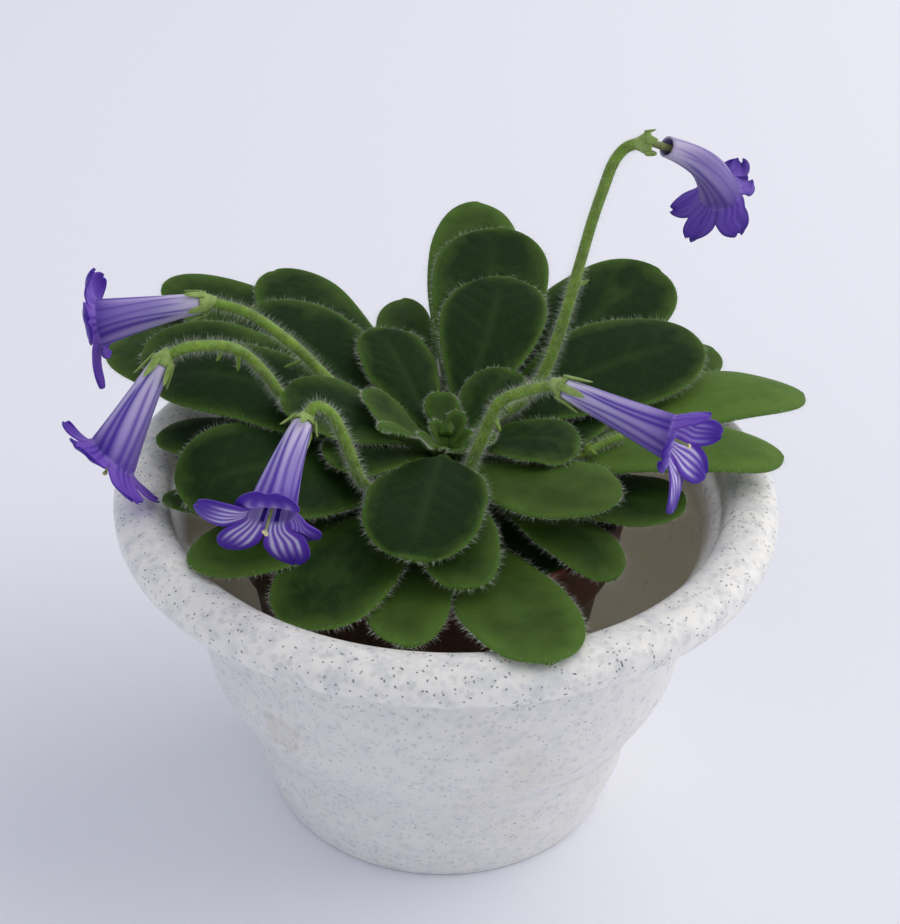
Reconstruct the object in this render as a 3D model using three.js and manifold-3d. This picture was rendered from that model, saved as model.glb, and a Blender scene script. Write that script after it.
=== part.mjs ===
// Cape-primrose relative in flower: a leaf rosette in a thin nursery pot, standing in a speckled outer pot.
// Millimetres, +Z up. The origin is the centre of the outer pot's underside, the surface it stands on.
import * as THREE from 'three';
import { LoftGeometry } from 'three/addons/geometries/LoftGeometry.js';
import { mergeVertices } from 'three/addons/utils/BufferGeometryUtils.js';
import Module from 'manifold-3d';

const wasm = await Module();
wasm.setup();

// Clearance kept between neighbouring pieces.
const gap = 0.3;

// Outer pot: rolled rim 160 across, a ribbed foot that widens into a bowl.
const outerWall = 2.5;
const outerFloor = 3;
const rimCentre = { r: 73.4, z: 87.1 };
const rimHalf = { r: 6.6, z: 4.2 };
const outerSkin = [
  [43, 0], [44.1, 0.8], [44.6, 2.4], [47.6, 12], [49.9, 24], [54.5, 33],
  [59.1, 42], [60.9, 52], [62.6, 62], [64, 72], [65.2, 80],
];
const outerFacets = 36;

// Nursery pot: stands on the outer pot's floor, pushed a little to the back left. A deep collar with a bead
// round its top edge steps out from the tapering body.
const nurseryCentre = { x: -4.5, y: 6 };
const nurseryWall = 1.2;
const nurseryLip = { r: 50.35, z: 86 };
const nurseryCollar = { r: 47.5, z: 68 };
const nurseryBody = { top: 45, bottom: 35 };
const soilTop = 76;
const nurseryFacets = 32;

// Crown: the short stem that every leaf and flower stalk leaves from, topped by its youngest leaves.
const crown = { x: 0, y: 4, radius: 4.6, top: 95 };

// Leaves. az: compass angle of the tip, reach: from the crown's axis to the tip, tipZ and startZ: heights
// of the tip and of the leaf stalk's root, width: across the blade, arch: rise of the blade's middle,
// peak: larger moves the widest place outwards, bend: sideways bow, roll: turn about the midrib,
// late: larger moves the arch outwards, neck: share of the length that is leaf stalk.
const leafPlans = [
  { az: 86, reach: 99, tipZ: 115, width: 25, startZ: 81, arch: 3, peak: 1.9, bend: -1 },
  { az: 82, reach: 79, tipZ: 117, width: 31, startZ: 86, arch: 4, peak: 1.8, bend: -2.5 },
  { az: 77, reach: 59, tipZ: 113, width: 27, startZ: 91, arch: 4, peak: 1.6, bend: -1.5 },
  { az: 51, reach: 90, tipZ: 109, width: 33, startZ: 84, arch: 3, peak: 1.7, bend: 5, roll: 8 },
  { az: 29, reach: 73, tipZ: 107, width: 33, startZ: 90, arch: 4, peak: 1.5, bend: 4, roll: 8 },
  { az: 37, reach: 88, tipZ: 95, width: 24, startZ: 80, arch: 4, peak: 1.6 },
  { az: 18, reach: 95, tipZ: 96, width: 23, startZ: 81, arch: 9, peak: 1.6, late: 1.4 },
  { az: -2, reach: 81, tipZ: 97, width: 23, startZ: 85, arch: 7, peak: 1.5, late: 1.4 },
  { az: -17, reach: 59, tipZ: 91, width: 24, startZ: 82, arch: 3 },
  { az: -33, reach: 48, tipZ: 100, width: 26, startZ: 93, arch: 1, peak: 1.2, neck: 0.15, bend: -4 },
  { az: -43.75, reach: 54.4, tipZ: 85, width: 16.6, startZ: 84, arch: 5, peak: 1.8, bend: 1, late: 1 },
  { az: -74, reach: 82, tipZ: 93, width: 26, startZ: 81, arch: 0, peak: 1.7 },
  { az: -49, reach: 39, tipZ: 80, width: 20, startZ: 78, arch: 1 },
  { az: -85, reach: 54, tipZ: 93, width: 18, startZ: 90, arch: 4, peak: 1.6 },
  { az: -98, reach: 51, tipZ: 98, width: 28, startZ: 95, arch: 4, peak: 1.1, neck: 0.1 },
  { az: -97, reach: 67, tipZ: 86.5, width: 19, startZ: 82, arch: 4, peak: 1.9, bend: -2 },
  { az: -116, reach: 71, tipZ: 88.5, width: 26, startZ: 86, arch: 4, peak: 1.8, bend: -1 },
  { az: -140.8, reach: 73.2, tipZ: 92, width: 22.8, startZ: 83, arch: 3, peak: 1.6, bend: 2.8 },
  { az: -155, reach: 67, tipZ: 98, width: 37, startZ: 86, arch: 7, roll: -8, late: 1.5 },
  { az: 178, reach: 71, tipZ: 95, width: 22, startZ: 79, arch: 5, late: 1.4 },
  { az: -160, reach: 70, tipZ: 94, width: 16, startZ: 82, arch: 0, peak: 1.7 },
  { az: 169, reach: 73, tipZ: 105, width: 28, startZ: 88, arch: 8, roll: -9, late: 1.4 },
  { az: 152, reach: 100, tipZ: 97, width: 36, startZ: 79, arch: 8, peak: 1.6, bend: -2, roll: -8, late: 1.4 },
  { az: 159, reach: 83, tipZ: 104, width: 28, startZ: 85, arch: 7, bend: -2, roll: -10, late: 1.4 },
  { az: 141, reach: 98, tipZ: 107, width: 26, startZ: 81, arch: 4, bend: -6, roll: -5 },
  { az: 125, reach: 84, tipZ: 107, width: 25, startZ: 84, arch: 4, peak: 1.6 },
  { az: 137, reach: 72, tipZ: 106, width: 31, startZ: 87, arch: 4, roll: -9 },
  { az: 101, reach: 71, tipZ: 99, width: 15.5, startZ: 83, arch: 4, peak: 1.8, bend: 2 },
  { az: 116, reach: 43, tipZ: 107, width: 18.5, startZ: 91, arch: 3 },
  { az: -179, reach: 40, tipZ: 109, width: 23, startZ: 92, arch: 4, roll: -5 },
  { az: 174, reach: 21, tipZ: 109, width: 12, startZ: 95, arch: 1 },
  { az: -138, reach: 21, tipZ: 109, width: 8, startZ: 97, arch: 0 },
  { az: 99, reach: 14, tipZ: 103, width: 8.5, startZ: 98, arch: 0, root: 2 },
  { az: 51, reach: 25, tipZ: 106, width: 17, startZ: 95, arch: 2 },
  { az: -8, reach: 32, tipZ: 100, width: 21, startZ: 94, arch: 3 },
  { az: 23, reach: 41, tipZ: 98, width: 24, startZ: 87, arch: 2 },
  { az: -23, reach: 12, tipZ: 101, width: 9, startZ: 97, arch: 0.5 },
  { az: -152, reach: 32, tipZ: 101, width: 20, startZ: 92, arch: 3 },
  { az: -144, reach: 39, tipZ: 88, width: 18, startZ: 83, arch: 3 },
];
// Youngest leaves, still opening on top of the crown.
const youngPlans = [
  { az: 70, reach: 8.5, tipZ: 103.5, width: 5, startZ: 93 },
  { az: 200, reach: 7.5, tipZ: 102.5, width: 4.6, startZ: 93 },
  { az: -60, reach: 7, tipZ: 100.5, width: 4.6, startZ: 93 },
  { az: 20, reach: 6.5, tipZ: 101, width: 4.2, startZ: 93 },
  { az: 130, reach: 6, tipZ: 102.5, width: 3.6, startZ: 93 },
  { az: -120, reach: 5.5, tipZ: 100.5, width: 3.4, startZ: 93 },
];
const leafRows = [0, 0.12, 0.26, 0.41, 0.57, 0.72, 0.86, 0.95, 0.993];
const leafAcross = [1, 0.4, -0.4];
const leafStalk = { halfWidth: 1.7, halfThickness: 1.2 };
const bladeHalfThickness = 0.85;

// Flower stalks: the points that each one runs through, from the crown to the flower, and its small bracts
// (share of the length, length and direction).
const stalkRadius = 1.4;
const stalkPlans = [
  {
    path: [[-3, 6, 91.5], [-14, 11, 97], [-27.5, 17, 104.4], [-39, 18.5, 115.8], [-49.3, 19.5, 123],
      [-58, 20, 125.4]],
    bracts: [{ at: 0.6, length: 4.5, toward: [-1, -0.3, -0.6] }],
  },
  {
    path: [[-3, 3.5, 90], [-10, 3, 94.5], [-17, 3, 97.7], [-25, 3.6, 101], [-35, 5.2, 104.8],
      [-39.5, 6.3, 106.9], [-42.3, 4, 113.1], [-46.9, 1, 121.1], [-51, -1, 124.8], [-56.9, -3.5, 126.4],
      [-60.2, -4.5, 126.5], [-62.9, -5.5, 125.8], [-65.1, -6, 125]],
    bracts: [{ at: 0.78, length: 3.5, toward: [0.1, -0.3, -1] },
      { at: 0.83, length: 2.5, toward: [-0.3, -0.3, -1] }],
  },
  {
    step: 3,
    path: [[-3, 1, 88], [-11, -9, 91.5], [-18.9, -18, 98.7], [-22.2, -22, 110.3], [-25.9, -24, 121.2],
      [-29.3, -25, 123.9], [-31.5, -26, 121.4]],
    bracts: [],
  },
  {
    path: [[4, 2.5, 91], [4.3, -5, 93], [6.8, -9, 102.7], [9.6, -11, 112.6], [11.8, -12, 118.4],
      [17.4, -14, 122.7], [24.2, -17.6, 126.5]],
    bracts: [{ at: 0.64, length: 3.5, toward: [0.3, -0.2, -1] },
      { at: 0.72, length: 1.5, toward: [0.6, 0, -1] }],
  },
  {
    path: [[2.5, 7, 91.5], [7, 10, 95.5], [12, 12, 99.5], [17.5, 11.5, 104.5], [22.4, 10, 113.1],
      [25, 10, 121.4], [27.1, 10, 130.2], [29.7, 10, 143.4], [31.9, 10, 154.2], [33.8, 10, 161.8],
      [36, 10, 169.1], [38.1, 10, 172], [40, 10, 173], [41.5, 10, 173.2]],
    bracts: [{ at: 0.57, length: 2.5, toward: [0.6, -0.4, 1] },
      { at: 0.59, length: 2.5, toward: [1, 0.3, 0.2] }],
  },
  {
    radius: 1,
    path: [[4, 3.5, 88], [10, 3, 90.5], [20, 1.5, 93], [26.5, 0.5, 95.3], [32.5, 0.5, 97.2], [38, 2.8, 98.8],
      [42, 4, 100]],
    bracts: [{ at: 0.76, length: 3, toward: [0.3, -0.3, 1] },
      { at: 0.8, length: 2, toward: [0.5, -1, 0.2] }],
  },
];

// Calyx: a short cup at the stalk's end with five narrow lobes round the corolla's foot.
const calyxCup = { length: 2, radius: 2.9 };
const calyxLobe = { width: 2.2, thickness: 0.6, root: 2.9 };

// Flowers. mouth: the tube's open end, bend: the point it bows towards, foot: only where the corolla has
// slipped off its calyx, top: the side between the two upper lobes, lip: slant of the mouth, splay: how far
// the calyx lobes stand off, stigmaOut: stigma beyond the mouth, lobes: angle from the top, length, width
// and final turn outwards of each lobe.
const corollaWall = 0.6;
const tubeFoot = 2.5;
const flowerPlans = [
  {
    bend: [-72.5, 19, 123.2], mouth: [-84.8, 17.7, 120.3], top: [0, 0.54, 0.84],
    mouthRadius: 5.9, lip: 0.1, splay: 12, calyxLength: 5, stigmaOut: 1,
    lobes: [[34, 10, 8, 145], [-25, 9, 8, 155], [112, 9, 9, 112], [-95, 9, 10, 135], [177, 11, 8, 104]],
  },
  {
    bend: [-71.4, -12.2, 115.2], mouth: [-77.0, -17.6, 104.4], top: [-0.89, 0.25, 0.39],
    mouthRadius: 6.2, lip: 0.3, splay: 14, calyxLength: 6, stigmaOut: 4,
    lobes: [[8, 9, 8, 130], [-64, 9, 10, 130], [80, 9.5, 9, 130], [152, 10, 9, 85], [-136, 10, 8, 90]],
  },
  {
    bend: [-35, -38, 117.5], mouth: [-37.7, -48, 110.1], top: [0.8, 0.32, 0.5],
    mouthRadius: 5.6, lip: 0.3, splay: 22, calyxLength: 4.5, stigmaOut: 4,
    lobes: [[72, 7.8, 14, 128], [-52, 8, 8, 108], [140, 12, 12, 110], [-82, 11.5, 10, 75], [206, 9.5, 9, 68]],
  },
  {
    bend: [37, -25, 124.5], mouth: [49.3, -30.5, 121.3], top: [0.5, 0.45, 0.72],
    mouthRadius: 5.2, lip: 0.2, splay: 9, calyxLength: 7, stigmaOut: 4,
    lobes: [[30, 8, 7, 20], [-60, 12.5, 6.5, 46], [120, 7.5, 9, 120], [-152, 13, 13, 82],
      [-104, 13, 8, 52]],
  },
  {
    foot: [47.4, 10, 172.6], bend: [58.1, 16, 167.2], mouth: [62.3, 22, 156.3], top: [0.8, 0.3, 0.3],
    mouthRadius: 4.8, lip: 0.1, splay: 3, calyxLength: 2.6, stigmaOut: -8,
    lobes: [[-8, 5.2, 9, 50], [-40, 8.5, 7, 85], [101, 7.2, 7.5, 88], [163, 9, 7, 90], [-148, 9.7, 7, 85]],
  },
];
const tubeRows = [0, 0.27, 0.54, 0.8, 1];
const tubeFacets = 10;
const lobeRows = [-0.12, 0.2, 0.5, 0.78, 0.96];

// Colours seen on the real object.
const skins = {
  outerPot: { color: 0xdfe0dc, roughness: 0.35, metalness: 0 },
  nurseryPot: { color: 0x6f2f1c, roughness: 0.5, metalness: 0 },
  soil: { color: 0x1c1712, roughness: 1, metalness: 0 },
  crown: { color: 0x3f6424, roughness: 0.8, metalness: 0 },
  leaf: { color: 0x2f5a1f, roughness: 0.75, metalness: 0 },
  stalk: { color: 0x7ea33a, roughness: 0.7, metalness: 0 },
  corolla: { color: 0x6b48b5, roughness: 0.6, metalness: 0 },
  pistil: { color: 0xc9cf86, roughness: 0.6, metalness: 0 },
};

const object = new THREE.Group();
object.name = 'potted_rosette';

function addPiece(name, geometry, skin) {
  const piece = new THREE.Mesh(geometry, new THREE.MeshStandardMaterial(skins[skin]));
  piece.name = name;
  object.add(piece);
}

function solidFrom(geometry) {
  const bare = new THREE.BufferGeometry();
  bare.setAttribute('position', geometry.getAttribute('position'));
  bare.setIndex(geometry.getIndex());
  const merged = mergeVertices(bare, 1e-4);
  const vertProperties = new Float32Array(merged.attributes.position.array);
  const triVerts = new Uint32Array(merged.index.array);
  return new wasm.Manifold(new wasm.Mesh({ numProp: 3, vertProperties, triVerts }));
}

function geometryFrom(solid) {
  const mesh = solid.getMesh();
  const geometry = new THREE.BufferGeometry();
  geometry.setAttribute('position', new THREE.BufferAttribute(mesh.vertProperties, 3));
  geometry.setIndex(new THREE.BufferAttribute(mesh.triVerts, 1));
  geometry.computeVertexNormals();
  return geometry;
}

function joined(geometries) {
  return geometries.map(solidFrom).reduce((whole, part) => whole.add(part));
}

// The largest body of a solid, so a sliver cut off by a neighbour is dropped.
function mainBody(solid) {
  return solid.decompose().reduce((best, body) => (body.volume() > best.volume() ? body : best));
}

function smooth(value, low, high) {
  return THREE.MathUtils.smoothstep(value, low, high);
}

// A closed profile of [radius, height] pairs turned round a vertical axis.
function turned(profile, facets, x = 0, y = 0) {
  const points = profile.map(([r, z]) => new THREE.Vector2(r, z));
  const geometry = new THREE.LatheGeometry(points, facets);
  geometry.rotateX(Math.PI / 2);
  geometry.translate(x, y, 0);
  return geometry;
}

function outerPotGeometry() {
  const roll = [];
  for (let i = 0; i <= 6; i += 1) {
    const angle = (Math.PI * i) / 6;
    roll.push([rimCentre.r + rimHalf.r * Math.cos(angle), rimCentre.z + rimHalf.z * Math.sin(angle)]);
  }
  const inside = outerSkin.slice(3).reverse().map(([r, z]) => [r - outerWall, z]);
  return turned([
    [0, 0], ...outerSkin,
    [65.8, 84.6], [76.8, 84.6], [78.4, 82.9], [79.4, 84],
    ...roll,
    [66, 83.6], ...inside,
    [44, outerFloor + 1.2], [42.5, outerFloor], [0, outerFloor],
  ], outerFacets);
}

function nurseryPotGeometry() {
  const { r, z } = nurseryLip;
  const { top, bottom } = nurseryBody;
  const { r: collar, z: step } = nurseryCollar;
  const foot = outerFloor + gap;
  return turned([
    [0, foot], [bottom - 1, foot], [bottom, foot + 1], [top, step - 1], [collar, step],
    [r - 1.2, z - 2.3], [r, z - 1.6], [r, z - 0.6], [r - 0.6, z], [r - 1.6, z],
    [r - 1.2 - nurseryWall, z - 2.3], [collar - nurseryWall, step + 1.2], [top - nurseryWall, step - 0.2],
    [bottom - nurseryWall, foot + nurseryWall], [0, foot + nurseryWall],
  ], nurseryFacets, nurseryCentre.x, nurseryCentre.y);
}

function soilGeometry() {
  const { top, bottom } = nurseryBody;
  const { r: collar, z: step } = nurseryCollar;
  const low = outerFloor + 2 * gap + nurseryWall;
  const clear = nurseryWall + gap;
  return turned([
    [0, low], [bottom - clear, low], [top - clear, step], [collar - clear, step + 1.6],
    [collar - clear + 0.7, soilTop - 0.2], [30, soilTop + 0.3], [12, soilTop], [0, soilTop],
  ], nurseryFacets, nurseryCentre.x, nurseryCentre.y);
}

// Centre line, left-hand direction and upward direction of a leaf at each row.
function leafFrames(plan, rows) {
  const { az, reach, tipZ, startZ, arch, bend = 0, roll = 0, late = 0.8, root = 4 } = plan;
  const heading = THREE.MathUtils.degToRad(az);
  const outward = new THREE.Vector2(Math.cos(heading), Math.sin(heading));
  const start = new THREE.Vector2(crown.x, crown.y).addScaledVector(outward, root);
  const tip = new THREE.Vector2(crown.x, crown.y).addScaledVector(outward, reach);
  const bow = new THREE.Vector2(-outward.y, outward.x).multiplyScalar(bend * 2);
  const middle = start.clone().add(tip).multiplyScalar(0.5).add(bow);
  const plan2d = new THREE.QuadraticBezierCurve(start, middle, tip);
  const centre = (t) => {
    const p = plan2d.getPoint(t);
    const lag = t ** late;
    return new THREE.Vector3(p.x, p.y, startZ + (tipZ - startZ) * t + arch * 4 * lag * (1 - lag));
  };
  return rows.map((t) => {
    const along = centre(Math.min(t + 0.01, 1)).sub(centre(Math.max(t - 0.01, 0))).normalize();
    const left = new THREE.Vector3(0, 0, 1).cross(along).normalize();
    left.applyAxisAngle(along, THREE.MathUtils.degToRad(roll) * Math.min(t / 0.5, 1));
    const up = along.clone().cross(left).normalize();
    return { centre: centre(t), along, left, up };
  });
}

// Leaf: a flattened stalk that opens into a rounded blade, grown by extra on every side.
function leafGeometry(plan, extra = 0) {
  const { width, peak = 1.4, neck = 0.12, stalk = leafStalk.halfWidth, blade = bladeHalfThickness } = plan;
  const sections = leafFrames(plan, leafRows).map(({ centre, along, left, up }, row) => {
    const t = leafRows[row];
    const onBlade = Math.max(0, (t - neck) / (1 - neck));
    const widest = 0.5 ** (1 / peak);
    const toTip = (onBlade - widest) / (1 - widest);
    const fill = toTip > 0 ? (1 - toTip ** 2.5) ** 0.46 : Math.sin(Math.PI * onBlade ** peak) ** 0.55;
    const half = Math.hypot(stalk * Math.sqrt(1 - t), (width / 2) * fill) + extra;
    const thick = THREE.MathUtils.lerp(Math.min(leafStalk.halfThickness, stalk), blade, smooth(t, 0.05, 0.4))
      * (1 - 0.4 * smooth(t, 0.8, 1)) + extra;
    if (row === 0) centre.addScaledVector(along, -extra);
    if (row === leafRows.length - 1) centre.addScaledVector(along, extra);
    const ring = [];
    for (const s of leafAcross) {
      const rise = thick * (1 - Math.abs(s) ** 3);
      ring.push(centre.clone().addScaledVector(left, half * s).addScaledVector(up, rise));
    }
    for (const s of leafAcross) {
      const rise = thick * (1 - Math.abs(s) ** 3);
      ring.push(centre.clone().addScaledVector(left, -half * s).addScaledVector(up, -rise));
    }
    return ring;
  });
  return new LoftGeometry(sections, { capStart: true, capEnd: true });
}

// A ring of points of the given radius round a centre, across the direction along.
function ringOf(centre, along, radius, facets) {
  const side = Math.abs(along.z) > 0.9 ? new THREE.Vector3(1, 0, 0) : new THREE.Vector3(0, 0, 1);
  const right = side.clone().cross(along).normalize();
  const up = along.clone().cross(right);
  const ring = [];
  for (let i = 0; i < facets; i += 1) {
    const angle = (2 * Math.PI * i) / facets;
    ring.push(centre.clone()
      .addScaledVector(right, radius * Math.cos(angle))
      .addScaledVector(up, radius * Math.sin(angle)));
  }
  return ring;
}

// Thin pointed blade from one point to another, its flat side facing the given way.
function bladeGeometry(from, to, facing, width, thickness) {
  const along = to.clone().sub(from).normalize();
  const side = along.clone().cross(facing).normalize();
  const face = side.clone().cross(along);
  const sections = [[0, 0.7], [0.4, 1], [0.75, 0.75], [1, 0.2]].map(([t, share]) => {
    const centre = from.clone().lerp(to, t);
    const half = (width / 2) * share;
    const corners = [[1, -1], [1, 1], [-1, 1], [-1, -1]];
    return corners.map(([a, b]) => centre.clone()
      .addScaledVector(side, -half * a)
      .addScaledVector(face, (thickness / 2) * b));
  });
  return new LoftGeometry(sections, { capStart: true, capEnd: true });
}

function vector(values) {
  return new THREE.Vector3(...values);
}

function stalkCurve(plan) {
  return new THREE.CatmullRomCurve3(plan.path.map(vector), false, 'centripetal');
}

// Direction in which a flower's calyx opens at the stalk's end.
function calyxAxis(plan, flower) {
  const curve = stalkCurve(plan);
  if (flower.foot) return curve.getTangentAt(1);
  return vector(flower.bend).sub(curve.getPointAt(1)).normalize();
}

// Start of the corolla: just above the calyx cup unless it has slipped off.
function footOf(plan, flower) {
  if (flower.foot) return vector(flower.foot);
  return stalkCurve(plan).getPointAt(1).addScaledVector(calyxAxis(plan, flower), calyxCup.length + gap);
}

// Flower stalk with its bracts, and the calyx where it carries a flower.
function stalkGeometries(plan, flower) {
  const curve = stalkCurve(plan);
  const section = new THREE.Shape();
  const radius = plan.radius ?? stalkRadius;
  for (let i = 0; i < 8; i += 1) {
    const angle = (Math.PI * i) / 4;
    if (i === 0) section.moveTo(radius, 0);
    else section.lineTo(radius * Math.cos(angle), radius * Math.sin(angle));
  }
  section.closePath();
  const steps = Math.round(curve.getLength() / (plan.step ?? 6));
  const parts = [new THREE.ExtrudeGeometry(section, { steps, extrudePath: curve })];
  for (const { at, length, toward } of plan.bracts) {
    const from = curve.getPointAt(at);
    const along = vector(toward).normalize();
    const facing = along.clone().cross(curve.getTangentAt(at)).cross(along).normalize();
    const to = from.clone().addScaledVector(along, stalkRadius + length);
    parts.push(bladeGeometry(from, to, facing, 1.6, 0.9));
  }
  if (flower) {
    const end = curve.getPointAt(1);
    const axis = calyxAxis(plan, flower);
    const cup = [[-0.8, 1.2], [0.2, 2], [calyxCup.length, calyxCup.radius]].map(([along, radius]) =>
      ringOf(end.clone().addScaledVector(axis, along), axis, radius, 10));
    parts.push(new LoftGeometry(cup, { capStart: true, capEnd: true }));
    const splay = THREE.MathUtils.degToRad(flower.splay);
    const roots = ringOf(new THREE.Vector3(), axis, 1, 5);
    for (const outward of roots) {
      const from = end.clone().addScaledVector(axis, calyxCup.length - 1)
        .addScaledVector(outward, calyxLobe.root - 0.1);
      const way = axis.clone().multiplyScalar(Math.cos(splay)).addScaledVector(outward, Math.sin(splay));
      const to = from.clone().addScaledVector(way, flower.calyxLength);
      parts.push(bladeGeometry(from, to, outward, calyxLobe.width, calyxLobe.thickness));
    }
  }
  return parts;
}

// Frame at the mouth of a flower: axis outwards, top and side across it.
function mouthFrame(plan, flower) {
  const points = [footOf(plan, flower), vector(flower.bend), vector(flower.mouth)];
  const curve = new THREE.QuadraticBezierCurve3(...points);
  const axis = curve.getTangent(1).normalize();
  const side = axis.clone().cross(vector(flower.top)).normalize();
  const top = side.clone().cross(axis);
  return { curve, axis, side, top };
}

// Corolla: a tube that widens to the mouth, with five lobes that lie on one flared surface.
function corollaGeometries(plan, flower) {
  const { curve, axis, side, top } = mouthFrame(plan, flower);
  const { mouthRadius, lip } = flower;
  const tubeRing = (t, inset) => {
    const along = curve.getTangent(t).normalize();
    const across = along.clone().cross(top).normalize();
    const upward = across.clone().cross(along);
    const radius = tubeFoot + (mouthRadius - tubeFoot) * (0.67 * t + 0.33 * t * t) - inset;
    const ring = [];
    for (let i = 0; i < tubeFacets; i += 1) {
      const angle = (2 * Math.PI * i) / tubeFacets;
      ring.push(curve.getPoint(t)
        .addScaledVector(upward, radius * Math.cos(angle))
        .addScaledVector(across, radius * Math.sin(angle))
        .addScaledVector(along, -lip * t * t * radius * Math.cos(angle)));
    }
    return ring;
  };
  const outside = tubeRows.map((t) => tubeRing(t, 0));
  const inside = tubeRows.map((t) => tubeRing(t, corollaWall)).reverse();
  const parts = [new LoftGeometry([...outside, ...inside, outside[0]])];
  for (const lobe of flower.lobes) parts.push(lobeGeometry(flower, { axis, side, top }, lobe));
  return parts;
}

// Lobe [angle from the top, length, width, final turn outwards] of a corolla.
function lobeGeometry(flower, { axis, side, top }, [angle, length, width, turn]) {
  const mouth = vector(flower.mouth);
  const centreAngle = THREE.MathUtils.degToRad(angle);
  const wallTilt = THREE.MathUtils.degToRad(8);
  const firstTurn = THREE.MathUtils.degToRad(40);
  const lastTurn = THREE.MathUtils.degToRad(turn);
  const tiltAt = (w) => (w < 0 ? wallTilt : firstTurn + (lastTurn - firstTurn) * w ** 0.7);
  const rootHalf = flower.mouthRadius * Math.sin(Math.PI / 5);
  const sections = lobeRows.map((w) => {
    let out = flower.mouthRadius - corollaWall / 2;
    let forward = 0;
    const steps = 24;
    for (let i = 0; i < steps; i += 1) {
      const tilt = tiltAt(((i + 0.5) / steps) * w);
      out += Math.sin(tilt) * (w / steps) * length;
      forward += Math.cos(tilt) * (w / steps) * length;
    }
    const tilt = tiltAt(w);
    const swell = rootHalf + (width / 2 - rootHalf) * smooth(w, 0, 0.5);
    const half = swell * Math.sqrt(1 - Math.max(0, (w - 0.45) / 0.55) ** 2.4);
    const point = (s, layer) => {
      const turnBy = centreAngle + (s * half) / out;
      const radial = top.clone().multiplyScalar(Math.cos(turnBy)).addScaledVector(side, Math.sin(turnBy));
      const normal = radial.clone().multiplyScalar(Math.cos(tilt)).addScaledVector(axis, -Math.sin(tilt));
      return mouth.clone()
        .addScaledVector(radial, out)
        .addScaledVector(axis, forward - flower.lip * flower.mouthRadius * Math.cos(turnBy))
        .addScaledVector(normal, layer);
    };
    const layer = corollaWall * 0.45;
    const across = [-1, 0, 1];
    return [...across.map((s) => point(s, layer)), ...across.map((s) => point(-s, -layer))];
  });
  return new LoftGeometry(sections, { capStart: true, capEnd: true });
}

// Pistil: ovary, slender style and a small two-lobed stigma, inside the tube.
function pistilGeometries(plan, flower) {
  const { curve, axis, side } = mouthFrame(plan, flower);
  const start = stalkCurve(plan).getPointAt(1);
  start.addScaledVector(calyxAxis(plan, flower), calyxCup.length + gap);
  const tip = vector(flower.mouth).addScaledVector(axis, flower.stigmaOut);
  const inTube = [0.15, 0.4, 0.7].map((t) => curve.getPoint(t));
  const path = new THREE.CatmullRomCurve3([start, ...inTube, tip]);
  const radii = [[0, 0.8], [0.12, 0.95], [0.3, 0.75], [0.42, 0.4], [0.7, 0.35], [0.97, 0.35]];
  const sections = radii.map(([t, radius]) => ringOf(path.getPointAt(t), path.getTangentAt(t), radius, 6));
  const stem = new LoftGeometry(sections, { capStart: true, capEnd: true });
  const end = path.getPointAt(0.97);
  const spread = [-1, -0.5, 0.5, 1].map((s, i) => {
    const isEnd = i === 0 || i === 3;
    const centre = end.clone().addScaledVector(side, s * 1.3).addScaledVector(axis, isEnd ? 0.3 : 0);
    return ringOf(centre, side, isEnd ? 0.3 : 0.55, 6);
  });
  return [stem, new LoftGeometry(spread, { capStart: true, capEnd: true })];
}

function crownGeometry(extra = 0) {
  const { x, y, top } = crown;
  const radius = crown.radius + extra;
  return turned([
    [0, soilTop + 2 * gap], [radius + 1, soilTop + 2 * gap], [radius, soilTop + 4], [radius - 0.6, 88],
    [radius - 1.8, 92.5], [1.2 + extra, top + extra], [0, top + extra],
  ], 12, x, y);
}

// Crown with its youngest leaves, all grown by extra.
function crownSolid(extra = 0) {
  const young = youngPlans.map((plan) => {
    const full = { arch: 0.6, root: 0.6, stalk: 0.9, blade: 0.5, ...plan };
    return leafGeometry(full, extra);
  });
  return joined([crownGeometry(extra), ...young]);
}

addPiece('outer_pot', outerPotGeometry(), 'outerPot');
addPiece('nursery_pot', nurseryPotGeometry(), 'nurseryPot');
addPiece('soil', soilGeometry(), 'soil');
addPiece('crown', geometryFrom(crownSolid()), 'crown');

// Stalks and leaves crowd at the crown, so each one gives way to what was placed before it, grown by the gap.
const placed = [];
function place(name, solid, grown, skin) {
  let kept = solid;
  for (const other of placed) kept = kept.subtract(other);
  addPiece(name, geometryFrom(mainBody(kept)), skin);
  placed.push(grown);
}
placed.push(crownSolid(gap));
stalkPlans.forEach((plan, i) => {
  const solid = joined(stalkGeometries(plan, flowerPlans[i]));
  const grown = joined(stalkGeometries({ ...plan, radius: (plan.radius ?? stalkRadius) + gap }));
  place(`flower_stalk_${i + 1}`, solid, grown, 'stalk');
});
leafPlans.forEach((plan, i) => {
  const name = `leaf_${String(i + 1).padStart(2, '0')}`;
  place(name, solidFrom(leafGeometry(plan)), solidFrom(leafGeometry(plan, gap)), 'leaf');
});
flowerPlans.forEach((flower, i) => {
  addPiece(`corolla_${i + 1}`, geometryFrom(joined(corollaGeometries(stalkPlans[i], flower))), 'corolla');
  addPiece(`pistil_${i + 1}`, geometryFrom(joined(pistilGeometries(stalkPlans[i], flower))), 'pistil');
});

export default object;
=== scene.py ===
import math
import bmesh
import bpy
import numpy as np
from mathutils import Matrix, Vector


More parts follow.
